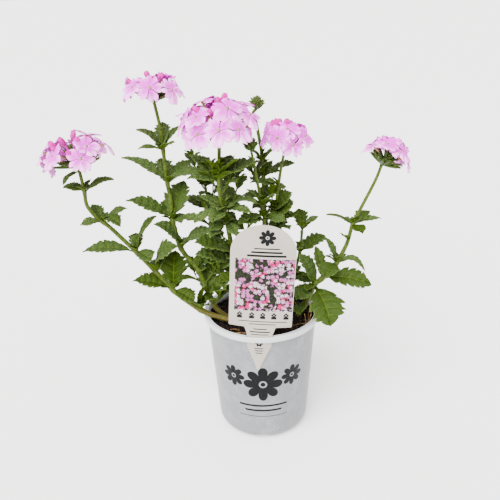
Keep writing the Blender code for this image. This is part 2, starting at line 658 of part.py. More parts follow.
def make_head(name):
    head = HEADS[name]
    frame = head_frame(head)
    low = CUP_HEIGHT + GAP
    high = head.lift + CORE_HEIGHT * head.rise
    wide = CORE_WIDTH * head.spread
    core = turned([(0, low), (0.7 * wide, low), (wide, low + 0.35 * (high - low)),
                   (0.7 * wide, low + 0.8 * (high - low)), (0, high)], 8)
    shapes = [core]
    for k, (azimuth, pitch) in enumerate(floret_directions(head)):
        turn = math.radians(14) * math.sin(2.4 * k + 1)
        shapes += floret(head, azimuth, pitch, turn)
    for k in range(head.buds):
        way = direction(360 * k / head.buds + 50, 66)
        start = Vector((0, 0, low + 0.5 * (high - low)))
        reach = head.lift + head.rise + BUD_RISE + 2 * (k % 2) - start.z
        shapes.append(spindle(start, start + way * reach, BUD_THICKNESS, 4))
    combine(name, [placed(shape, frame) for shape in shapes], ORCHID_PINK)


def main():
    for obj in list(bpy.data.objects):
        bpy.data.objects.remove(obj)
    make_pot()
    make_soil([stem_hole(stem) for stem in STEMS.values()])
    make_label()
    for name in STEMS:
        make_stem(name)
    for name in HEADS:
        make_head(name)


main()
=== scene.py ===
# %% [markdown]
# # A verbena in flower, in its nursery pot
#
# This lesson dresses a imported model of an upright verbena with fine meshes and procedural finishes.
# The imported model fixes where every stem, leaf, flower head, the pot and its label are, so each step
# below works out its own mesh from the same few dimensions and lands in the same place.

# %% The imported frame
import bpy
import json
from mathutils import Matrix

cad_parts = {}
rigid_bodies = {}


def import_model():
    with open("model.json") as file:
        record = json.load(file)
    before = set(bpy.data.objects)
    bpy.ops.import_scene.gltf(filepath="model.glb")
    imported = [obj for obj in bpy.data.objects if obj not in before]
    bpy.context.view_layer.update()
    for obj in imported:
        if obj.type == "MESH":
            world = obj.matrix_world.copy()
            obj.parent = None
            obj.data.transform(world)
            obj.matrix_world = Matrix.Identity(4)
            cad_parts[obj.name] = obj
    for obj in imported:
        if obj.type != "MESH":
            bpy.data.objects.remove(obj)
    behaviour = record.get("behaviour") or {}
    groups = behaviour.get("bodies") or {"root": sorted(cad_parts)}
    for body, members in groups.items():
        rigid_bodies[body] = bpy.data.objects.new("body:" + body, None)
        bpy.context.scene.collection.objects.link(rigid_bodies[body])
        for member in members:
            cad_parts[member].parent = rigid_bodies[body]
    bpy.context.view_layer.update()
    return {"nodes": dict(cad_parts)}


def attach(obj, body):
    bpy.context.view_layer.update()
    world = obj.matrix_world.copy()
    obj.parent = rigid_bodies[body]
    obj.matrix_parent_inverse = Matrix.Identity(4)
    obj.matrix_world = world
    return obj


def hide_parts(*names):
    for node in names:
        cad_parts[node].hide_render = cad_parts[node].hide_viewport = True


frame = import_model()
print("nodes of the frame:", ", ".join(sorted(frame["nodes"])))

# %% [markdown]
# ## Units
#
# Plants are measured in millimetres here, because leaves and petals are. Blender works in metres, so
# every mesh is scaled once, when it is built.

# %% Modules and units
import json
import math
from collections import namedtuple

import bmesh
import bpy
import numpy as np
from mathutils import Matrix, Vector, noise

MM = 0.001
GOLDEN_ANGLE = 137.508  # degrees
UP = np.array((0.0, 0.0, 1.0))


def drawer(seed):
    """A source of random numbers that gives the same ones on each run."""
    return np.random.default_rng(seed)


# %% [markdown]
# ## The camera and the studio
#
# The photograph was taken from a little above the plant at arm's length, with a slight roll of the
# hand. A camera could be aimed by eye or by a constraint. Here it stands where a fit of the ellipses of
# the pot's rim and foot puts it, so that the plant can be measured in its view.

# %% Camera
CAMERA_PLACE = Vector((0.0, -0.52563, 0.41633))
CAMERA_YAW = math.radians(-1.104)
CAMERA_DOWN = math.radians(23.25)
CAMERA_ROLL = math.radians(-1.47)
FOCAL_LENGTH = 42.9


def add_camera():
    forward = Vector((math.sin(CAMERA_YAW) * math.cos(CAMERA_DOWN),
                      math.cos(CAMERA_YAW) * math.cos(CAMERA_DOWN), -math.sin(CAMERA_DOWN)))
    level = Vector((math.cos(CAMERA_YAW), -math.sin(CAMERA_YAW), 0))
    turn = Matrix.Rotation(-CAMERA_ROLL, 3, forward)
    right = turn @ level
    up = turn @ level.cross(forward)
    data = bpy.data.cameras.new("camera")
    data.lens = FOCAL_LENGTH
    data.clip_start = 0.01
    camera = bpy.data.objects.new("camera", data)
    turned_to = Matrix((right, up, -forward)).transposed().to_4x4()
    camera.matrix_world = Matrix.Translation(CAMERA_PLACE) @ turned_to
    bpy.context.scene.collection.objects.link(camera)
    bpy.context.scene.camera = camera


add_camera()
print("camera at", tuple(CAMERA_PLACE), "looking down by", round(math.degrees(CAMERA_DOWN), 1), "degrees")

# %% [markdown]
# The light is that of a bright cloudy day: a pale sky all round, and one broad bright patch of cloud
# high at the front left. A lamp nearby would leave the far floor dark, so the patch is a sun lamp with
# a very wide disc, which also softens every shadow.

# %% Light and sky
CLOUD_FROM = Vector((-0.45, -0.85, 1.0))
CLOUD_WIDTH = math.radians(55)
CLOUD_STRENGTH = 10.2
SKY_STRENGTH = 2.3


def add_cloud():
    data = bpy.data.lights.new("bright_cloud", "SUN")
    data.energy = CLOUD_STRENGTH
    data.angle = CLOUD_WIDTH
    cloud = bpy.data.objects.new("bright_cloud", data)
    cloud.rotation_euler = (-CLOUD_FROM).to_track_quat("-Z", "Y").to_euler()
    bpy.context.scene.collection.objects.link(cloud)


def add_sky(brightness):
    world = bpy.data.worlds.new("studio")
    world.use_nodes = True
    background = world.node_tree.nodes["Background"]
    background.inputs["Color"].default_value = (1.0, 0.99, 0.97, 1)
    background.inputs["Strength"].default_value = brightness
    bpy.context.scene.world = world


add_cloud()
add_sky(SKY_STRENGTH)
print("light:", CLOUD_STRENGTH, "from the cloud and", SKY_STRENGTH, "from the sky")

# %% [markdown]
# ## Finishes as expressions
#
# A procedural finish is a little arithmetic over places and marks on a surface. Wiring Math nodes by
# hand hides that arithmetic, so one small class wraps a socket: Python's operators on it add the Math
# nodes, and its node method adds any other node.


# %% The socket class
class Wire:
    """A socket of a material's nodes, for use in expressions."""

    def __init__(self, tree, socket=None):
        self.tree = tree
        self.socket = socket

    def node(self, kind, settings, inputs, output=0):
        """Any node: its settings and a ramp's stops first, then its sockets' values or links."""
        made = self.tree.nodes.new(kind)
        for name, value in settings.items():
            if name == "stops":
                set_stops(made.color_ramp, value)
            else:
                setattr(made, name, value)
        for name, value in inputs.items():
            if isinstance(value, Wire):
                self.tree.links.new(value.socket, made.inputs[name])
            else:
                made.inputs[name].default_value = value
        return Wire(self.tree, made.outputs[output])

    def math(self, operation, *values):
        return self.node("ShaderNodeMath", {"operation": operation}, dict(enumerate(values)))

    def __add__(self, other):
        return self.math("ADD", self, other)

    def __radd__(self, other):
        return self.math("ADD", other, self)

    def __sub__(self, other):
        return self.math("SUBTRACT", self, other)

    def __rsub__(self, other):
        return self.math("SUBTRACT", other, self)

    def __mul__(self, other):
        return self.math("MULTIPLY", self, other)

    def __rmul__(self, other):
        return self.math("MULTIPLY", other, self)

    def __truediv__(self, other):
        return self.math("DIVIDE", self, other)

    def __pow__(self, other):
        return self.math("POWER", self, other)

    def __abs__(self):
        return self.math("ABSOLUTE", self)


def set_stops(ramp, stops):
    while len(ramp.elements) < len(stops):
        ramp.elements.new(1.0)
    for element, (place, colour) in zip(ramp.elements, stops):
        element.position = place
        element.color = (*colour, 1)


# %% [markdown]
# Most finishes here need the same few words: a smooth step, a mix of two colours, noise at a given
# grain, and marks that the mesh itself carries from point to point.

# %% Words for finishes
FACTOR, FIRST_COLOUR, SECOND_COLOUR, MIXED_COLOUR = 0, 6, 7, 2


def colour(red, green, blue):
    """A colour read off a screen, 0 to 255, as the linear light that a shader wants."""
    return tuple(((c / 255 + 0.055) / 1.055) ** 2.4 for c in (red, green, blue))


def step(wire, low, high):
    """0 below low, 1 above high and smooth between; falling if high is the smaller one."""
    rising = low < high
    ends = {"From Min": min(low, high), "From Max": max(low, high),
            "To Min": 0.0 if rising else 1.0, "To Max": 1.0 if rising else 0.0}
    return wire.node("ShaderNodeMapRange", {"interpolation_type": "SMOOTHSTEP"}, {"Value": wire, **ends})


def mix(first, second, share):
    def as_input(value):
        return value if isinstance(value, Wire) else (*value, 1)
    return share.node("ShaderNodeMix", {"data_type": "RGBA"},
                      {FACTOR: share, FIRST_COLOUR: as_input(first), SECOND_COLOUR: as_input(second)},
                      MIXED_COLOUR)


def mark(wire, name):
    """A value that the mesh carries on its points."""
    return wire.node("ShaderNodeAttribute", {"attribute_name": name}, {}, "Fac")


def places(wire):
    return wire.node("ShaderNodeTexCoord", {}, {}, "Object")


def grain(where, size, detail=2.0, roughness=0.5, distortion=0.0):
    """Noise from 0 to 1 whose blobs are about this many millimetres across."""
    inputs = {"Vector": where, "Scale": 1 / (size * MM), "Detail": detail, "Roughness": roughness,
              "Distortion": distortion}
    return where.node("ShaderNodeTexNoise", {}, inputs)


def cells(where, size, feature="DISTANCE_TO_EDGE", output="Distance"):
    """Distances in a pattern of cells that are about this many millimetres across."""
    inputs = {"Vector": where, "Scale": 1 / (size * MM)}
    return where.node("ShaderNodeTexVoronoi", {"feature": feature}, inputs, output)


def parts(vector):
    """The three numbers of a vector."""
    kind = "ShaderNodeSeparateXYZ"
    return [vector.node(kind, {}, {"Vector": vector}, axis) for axis in "XYZ"]


def bump(height, depth, strength=1.0):
    """A normal from a height of 0 to 1 that stands for this many millimetres."""
    inputs = {"Height": height, "Distance": depth * MM, "Strength": strength}
    return height.node("ShaderNodeBump", {}, inputs)


def finish(name, recipe, **constants):
    """A material: the recipe says what varies, and the constants are set on the shader's own sockets."""
    material = bpy.data.materials.new(name)
    material.use_nodes = True
    tree = material.node_tree
    shader = tree.nodes["Principled BSDF"]
    for socket, value in constants.items():
        shader.inputs[socket.replace("_", " ")].default_value = value
    for socket, value in recipe(Wire(tree)).items():
        tree.links.new(value.socket, shader.inputs[socket])
    return material


# %% [markdown]
# ## Gathering a mesh
#
# A leafy stem is a tube and some thirty leaves. Blender could hold each as an object, but the frame
# knows the stem as one piece. So the shapes are worked out as arrays and gathered in a Form, which
# also keeps the marks that the finishes read, such as where a vein runs.


# %% Forms
class Form:
    """The points, faces, materials and marks of one piece, gathered shape by shape, in millimetres."""

    def __init__(self, *marks):
        self.points = []
        self.faces = []
        self.slots = []
        self.marks = {name: [] for name in marks}
        self.count = 0

    def add(self, shape, slot=0, **marks):
        points, faces = shape
        points = np.asarray(points, float).reshape(-1, 3)
        self.points.append(points)
        self.faces.append(np.where(faces < 0, -1, faces + self.count))
        self.slots.append(np.full(len(faces), slot))
        for name, kept in self.marks.items():
            values = np.asarray(marks.get(name, 0.0), float)
            kept.append(np.broadcast_to(values.reshape(-1) if values.ndim else values, len(points)))
        self.count += len(points)

    def build(self, name, materials):
        mesh = bpy.data.meshes.new(name)
        faces = [face[:3] if face[3] < 0 else face for face in np.concatenate(self.faces).tolist()]
        mesh.from_pydata((np.concatenate(self.points) * MM).tolist(), [], faces)
        for material in materials:
            mesh.materials.append(material)
        mesh.polygons.foreach_set("material_index", np.concatenate(self.slots))
        for mark_name, kept in self.marks.items():
            attribute = mesh.attributes.new(mark_name, "FLOAT", "POINT")
            attribute.data.foreach_set("value", np.concatenate(kept).astype(np.float32))
        work = bmesh.new()
        work.from_mesh(mesh)
        bmesh.ops.recalc_face_normals(work, faces=work.faces)
        work.to_mesh(mesh)
        work.free()
        mesh.shade_smooth()
        piece = bpy.data.objects.new(name, mesh)
        bpy.context.scene.collection.objects.link(piece)
        return piece


def dress(piece, node):
    """The piece rides on the one body of this model and stands for its node, which is hidden."""
    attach(piece, "root")
    if node:
        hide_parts(node)
    triangles = sum(len(face.vertices) - 2 for face in piece.data.polygons)
    print(f"{piece.name}: {triangles} triangles")


# %% [markdown]
# Two kinds of grid make nearly every shape of a plant: a thin shell, for leaves and petals, and a tube,
# for stems, calyces and buds. Both are closed, so that they have an inside.


# %% Shells and tubes
def grid_faces(rows, columns, closed=False):
    """Four-sided faces between the points of a grid that is numbered row by row."""
    row, column = np.meshgrid(np.arange(rows - 1), np.arange(columns - (not closed)), indexing="ij")
    a = (row * columns + column).reshape(-1)
    b = (row * columns + (column + 1) % columns).reshape(-1)
    return np.stack([a, b, b + columns, a + columns], 1)


def shell(top, bottom):
    """A closed sheet between two grids of points."""
    rows, columns = top.shape[:2]
    count = rows * columns
    face = grid_faces(rows, columns)
    index = np.arange(count).reshape(rows, columns)
    border = np.concatenate([index[0], index[1:, -1], index[-1, -2::-1], index[-2:0:-1, 0]])
    after = np.roll(border, -1)
    wall = np.stack([border, after, after + count, border + count], 1)
    points = np.concatenate([top.reshape(-1, 3), bottom.reshape(-1, 3)])
    return points, np.concatenate([face, face[:, ::-1] + count, wall])


def unit(vector):
    return vector / np.linalg.norm(vector, axis=-1, keepdims=True)


def rings(line, radii, sides, section=None, turn=0.0):
    """Rings of points round a line. A section gives the radius's share at each angle."""
    line = np.asarray(line, float)
    ahead = unit(np.gradient(line, axis=0))
    across = np.array((0.0, 1.0, 0.02))
    angles = turn + math.tau * np.arange(sides) / sides
    shares = np.ones(sides) if section is None else section(angles)
    found = []
    for point, way, radius in zip(line, ahead, radii):
        across = unit(across - way * np.dot(across, way))
        beside = np.cross(way, across)
        ring = np.cos(angles)[:, None] * across + np.sin(angles)[:, None] * beside
        found.append(point + ring * (radius * shares)[:, None])
    return np.array(found)


def closed_tube(ring_points):
    """A tube through rings of points, with its ends closed."""
    count, sides = ring_points.shape[:2]
    k = np.arange(1, sides - 1)
    last = (count - 1) * sides
    none = np.full(len(k), -1)
    start = np.stack([0 * k, k + 1, k, none], 1)
    end = np.stack([0 * k + last, last + k, last + k + 1, none], 1)
    faces = np.concatenate([grid_faces(count, sides, closed=True), start, end])
    return ring_points.reshape(-1, 3), faces


def curve_points(points, count):
    """Points at even shares along a smooth bend through three guiding points."""
    share = np.linspace(0, 1, count)[:, None]
    start, middle, end = (np.asarray(p, float) for p in points)
    return (1 - share) ** 2 * start + 2 * share * (1 - share) * middle + share ** 2 * end


def direction(azimuth, pitch):
    """A unit vector: azimuth 0 is to the right and -90 to the front, in degrees."""
    a, p = math.radians(azimuth), math.radians(pitch)
    return np.array((math.cos(a) * math.cos(p), math.sin(a) * math.cos(p), math.sin(p)))


# %% [markdown]
# ## The pot
#
# The pot is a thin white moulding, 115 mm across. Its rim is turned down into a lip, its lower corner is
# round, and four low arches in the foot let water out. Turning one profile gives all of it. The
# arches are pressed into its foot by lifting points; the drain holes and the label's slot are cut.

# %% Pot dimensions
POT_HEIGHT = 127.0
RIM_RADIUS = 57.5
RIM_INNER_RADIUS = 52.9
LIP_HEIGHT = 5.4
BODY_TOP_RADIUS = 54.2
BODY_LOW_RADIUS = 46.2
CORNER_HEIGHT = 11.5
FOOT_RADIUS = 35.0
FOOT_WIDTH = 4.5
PAD_RADIUS = 9.0
BASE_RECESS = 2.6
FLOOR_TOP = 4.4
WALL = 1.3
POT_SEGMENTS = 160
NOTCH_COUNT = 4
NOTCH_HEIGHT = 8.0
NOTCH_TOP = 5.5
NOTCH_FOOT = 9.5
NOTCH_START = 27.0
NOTCH_TURN = -93.0
DRAIN_RADIUS = 4.0
DRAIN_CIRCLE = 21.0
SLOT_WIDTH = 26.0
LABEL_TURN = -2.5
SOIL_LEVEL = 119.0
print(f"pot: {2 * RIM_RADIUS} mm across the rim and {POT_HEIGHT} mm high")

# %% [markdown]
# In section the pot is one line: up the outside, over the rim and down the inside. It could be drawn as
# a curve by hand. Formulas for the wall, the corner and the small rounds of the lip keep each of them
# true to its size, and the soil and the label use the same wall.


# %% Pot profile
def body_radius(height):
    share = (height - CORNER_HEIGHT) / (POT_HEIGHT - LIP_HEIGHT - CORNER_HEIGHT)
    return BODY_LOW_RADIUS + (BODY_TOP_RADIUS - BODY_LOW_RADIUS) * share


def arc(centre, radius, start, end, count):
    """Points of an arc in the profile's plane, by angles in degrees."""
    angles = np.radians(np.linspace(start, end, count))
    return [(centre[0] + radius * math.cos(a), centre[1] + radius * math.sin(a)) for a in angles]


def corner(radius_low, radius_high, low, high, count):
    turns = np.linspace(0, math.pi / 2, count + 2)[1:-1]
    return [(radius_low + (radius_high - radius_low) * math.sin(a), high - (high - low) * math.cos(a))
            for a in turns]


def pot_profile():
    """(radius, height) from the middle of the base, up the outside, over the rim and down inside."""
    rim_low = POT_HEIGHT - LIP_HEIGHT
    web = POT_HEIGHT - WALL
    ring = FOOT_RADIUS - FOOT_WIDTH
    profile = [(0, 0), (PAD_RADIUS, 0), (PAD_RADIUS + 1, BASE_RECESS), (ring - 1.5, BASE_RECESS),
               (ring - 0.4, 0.5), (ring + 0.4, 0), (FOOT_RADIUS - 0.8, 0), (FOOT_RADIUS, 0.15)]
    profile += corner(FOOT_RADIUS, BODY_LOW_RADIUS, 0, CORNER_HEIGHT, 9)
    profile += [(body_radius(z), z) for z in np.linspace(CORNER_HEIGHT, web - 0.8, 12)]
    profile += [(body_radius(web) + 0.5, web - 0.1), (RIM_RADIUS - 1.5, web - 0.1)]
    profile += arc((RIM_RADIUS - 0.65, rim_low + 0.6), 0.6, 180, 360, 7)
    profile += arc((RIM_RADIUS - 1.0, POT_HEIGHT - 1.0), 1.0, 0, 90, 7)
    profile += arc((RIM_INNER_RADIUS + 0.8, POT_HEIGHT - 0.8), 0.8, 90, 180, 6)
    profile += [(body_radius(rim_low) - WALL, rim_low), (body_radius(60) - WALL, 60),
                (body_radius(CORNER_HEIGHT) - WALL, CORNER_HEIGHT)]
    inner = corner(FOOT_RADIUS - WALL, BODY_LOW_RADIUS - WALL, FLOOR_TOP, CORNER_HEIGHT, 5)
    return profile + inner[::-1] + [(FOOT_RADIUS - WALL, FLOOR_TOP), (0, FLOOR_TOP)]


print("pot profile:", len(pot_profile()), "points")


# %% [markdown]
# A turned shape could come from the Screw modifier. Working out the rings by hand keeps the same
# function for the pot, the drain cutters and the soil.

# %% Turning and cutting
def turned(profile, segments, centre=(0.0, 0.0)):
    """A closed solid turned from (radius, height) points; radius 0 is a pole."""
    points, faces, rows = [], [], []
    for radius, height in profile:
        count = 1 if radius == 0 else segments
        rows.append((len(points), count))
        for k in range(count):
            angle = math.tau * k / segments
            x, y = radius * math.cos(angle), radius * math.sin(angle)
            points.append((centre[0] + x, centre[1] + y, height))
    for (low, low_count), (high, high_count) in zip(rows, rows[1:]):
        for k in range(segments):
            after = (k + 1) % segments
            a, b = low + k % low_count, low + after % low_count
            c, d = high + after % high_count, high + k % high_count
            if high_count == 1:
                faces.append((a, b, c, -1))
            elif low_count == 1:
                faces.append((a, c, d, -1))
            else:
                faces.append((a, b, c, d))
    for start, count, flip in ((*rows[0], True), (*rows[-1], False)):
        for k in range(1, count - 1):
            ends = (start + k + 1, start + k) if flip else (start + k, start + k + 1)
            faces.append((start, *ends, -1))
    return np.array(points), np.array(faces)


def notched(point, rise=0.0):
    """The point lifted to the top of the nearest foot notch, if it lies under it."""
    x, y, z = point
    radius = math.hypot(x, y)
    if radius < NOTCH_START:
        return point
    bearing = math.degrees(math.atan2(y, x)) - NOTCH_TURN
    quarter = 360 / NOTCH_COUNT
    off = abs((bearing + quarter / 2) % quarter - quarter / 2)
    across = radius * math.sin(math.radians(off))
    share = min(max((NOTCH_FOOT - across) / (NOTCH_FOOT - NOTCH_TOP), 0), 1)
    height = NOTCH_HEIGHT * share * share * (3 - 2 * share)
    return (x, y, max(z, height + rise)) if height > 0.2 else point


def slot_cutter():
    """The curved slot through the top of the rim."""
    low, high = POT_HEIGHT - LIP_HEIGHT - 1, POT_HEIGHT + 1
    inner, outer = body_radius(POT_HEIGHT - WALL) + 0.1, RIM_RADIUS - 1.4
    half = SLOT_WIDTH / 2 / BODY_TOP_RADIUS
    angles = math.radians(-90 + LABEL_TURN) + np.linspace(-half, half, 13)
    rows = np.array([[(r * math.cos(a), r * math.sin(a), z) for r, z in
                      ((inner, low), (outer, low), (outer, high), (inner, high))] for a in angles])
    return closed_tube(rows)


def cut(target, cutters):
    """Cuts closed shapes out of the target, by one Boolean on a collection."""
    group = bpy.data.collections.new("cutters")
    for shape in cutters:
        form = Form()
        form.add(shape)
        cutter = form.build("cutter", [])
        bpy.context.scene.collection.objects.unlink(cutter)
        group.objects.link(cutter)
    bpy.context.scene.collection.children.link(group)
    boolean = target.modifiers.new("cut", "BOOLEAN")
    boolean.operand_type = "COLLECTION"
    boolean.collection = group
    graph = bpy.context.evaluated_depsgraph_get()
    target.data = bpy.data.meshes.new_from_object(target.evaluated_get(graph))
    target.modifiers.clear()
    for cutter in list(group.objects):
        bpy.data.objects.remove(cutter)
    bpy.data.collections.remove(group)


# %% [markdown]
# The pot's plastic is white and a little glossy. Its body is greyed as painted shade on the upright wall,
# while the thick rim, which faces the light, stays white; there are fine specks and rubbed patches. The
# front carries a plain motif in dark ink: three round daisies over three thin rules. Working it out in the
# shader keeps its edges sharp.

# %% Pot finish
INK = colour(3, 4, 6)
SPECK_GREY = colour(110, 108, 104)
DUST_BROWN = colour(128, 118, 102)
PRINT_RADIUS = 52.0
PAINTED_SHADE_TOP = (119.0, 122.5)  # heights between which the body's painted shade gives way to the rim's plain white
DAISY_PETALS = 8
POT_WHITE = colour(178, 180, 182)
# painted shade: the body's grey stands for the shade on its upright wall
POT_PAINTED_SHADE = colour(113, 114, 117)
DAISIES = ((0.0, 71.0, 20.0), (-30.5, 77.0, 12.0), (30.5, 77.0, 12.0))  # across, height, radius
RULES = ((44.5, 26.0, 1.3), (38.5, 20.0, 1.3), (31.0, 27.0, 0.5))  # height, half length, thickness


def daisy(across, up, radius, petals):
    """1 inside a round flower outline with an open eye."""
    reach = (across * across + up * up) ** 0.5
    angle = across.math("ARCTAN2", up, across)
    lobes = abs(across.math("COSINE", angle * (petals / 2)))
    outline = radius * (0.55 + 0.45 * lobes ** 0.6)
    soft = 0.25
    eye = step(reach, 0.2 * radius, 0.2 * radius + soft) + step(reach, 0.13 * radius, 0.13 * radius - soft)
    return step(reach - outline, soft, -soft) * eye


def rule(across, up, height, half_length, thick):
    return step(abs(up - height), thick, thick - 0.3) * step(abs(across), half_length, half_length - 0.3)


def pot_recipe(wire):
    where = places(wire)
    x, y, z = (part / MM for part in parts(where))
    azimuth = wire.math("ARCTAN2", y, x) + math.pi / 2
    across = azimuth * PRINT_RADIUS
    front = step(y, -20.0, -24.0)
    ink = 0.0
    for side, height, radius in DAISIES:
        ink = ink + daisy(across - side, z - height, radius, DAISY_PETALS)
    for height, half_length, thick in RULES:
        ink = ink + rule(across, z, height, half_length, thick)
    ink = ink * front * step(grain(where, 0.5), 0.2, 0.3)
    rubbed = step(grain(where, 14.0, 4.0, 0.6), 0.42, 0.7)
    # the body's painted shade fades out below the rim
    above_painted_shade = step(z, *PAINTED_SHADE_TOP)
    specks = step(grain(where, 0.9, 3.0, 0.7), 0.70, 0.76)
    base = mix(mix(POT_PAINTED_SHADE, POT_WHITE, above_painted_shade), POT_WHITE, rubbed * 0.12)
    base = mix(base, SPECK_GREY, specks * 0.3)
    beads = step(cells(where, 2.2, "F1"), 0.30, 0.18) * step(grain(where, 16.0), 0.45, 0.62)
    base = mix(base, POT_WHITE, beads * 0.4)
    scuffed = step(grain(where, 5.0, 5.0, 0.65, 1.0), 0.45, 0.75)
    dusty = step(z, 24.0, 4.0) * scuffed
    base = mix(base, DUST_BROWN, dusty * 0.35)
    return {
        "Base Color": mix(base, INK, ink),
        "Roughness": 0.30 + 0.16 * scuffed + 0.1 * ink,
        "Normal": bump(0.6 * grain(where, 0.8, 3.0) + 0.8 * beads, 0.06, 0.6),
    }


pot_plastic = finish("white_pot_plastic", pot_recipe, Specular_IOR_Level=0.1)

# %% [markdown]
# The pot itself is the turned profile, with its foot's arches pressed in and its holes cut. A Boolean
# suits the holes, whose edges are sharp. It would leave ragged faces at the arches, whose edges are
# soft, so there the points are lifted.

# %% Pot
pot_points, pot_faces = turned(pot_profile(), POT_SEGMENTS)
inside_from = int(np.argmax(pot_points[:, 2])) + 1
pot_points = [notched(point, WALL if k > inside_from else 0.0) for k, point in enumerate(pot_points)]
pot_form = Form()
pot_form.add((pot_points, pot_faces))
nursery_pot = pot_form.build("nursery_pot", [pot_plastic])
pot_cutters = [slot_cutter()]
for quarter in range(NOTCH_COUNT):
    bearing = NOTCH_TURN + 360 * quarter / NOTCH_COUNT
    drain = direction(bearing, 0) * DRAIN_CIRCLE
    pot_cutters.append(turned([(DRAIN_RADIUS, -1), (DRAIN_RADIUS, FLOOR_TOP + 1)], 32, drain))
cut(nursery_pot, pot_cutters)
nursery_pot.data.shade_smooth()
nursery_pot.data.set_sharp_from_angle(angle=math.radians(40))
dress(nursery_pot, "pot")

# %% [markdown]
# ## Where everything grows
#
# These are the routes of the nine stems, the leaves on them and the heads at their ends, as they stand
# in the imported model. A leaf's place counts the places of its stem's route; its width and arch are
# shares of its length.

# %% Stems, leaves and heads
Leaf = namedtuple("Leaf", "at azimuth pitch length width roll arch", defaults=(0.58, 0, 0.1))
Stem = namedtuple("Stem", "route thick thin leaves")
Head = namedtuple("Head", "stem lean_to lean spread rise lift floret spacing chosen")

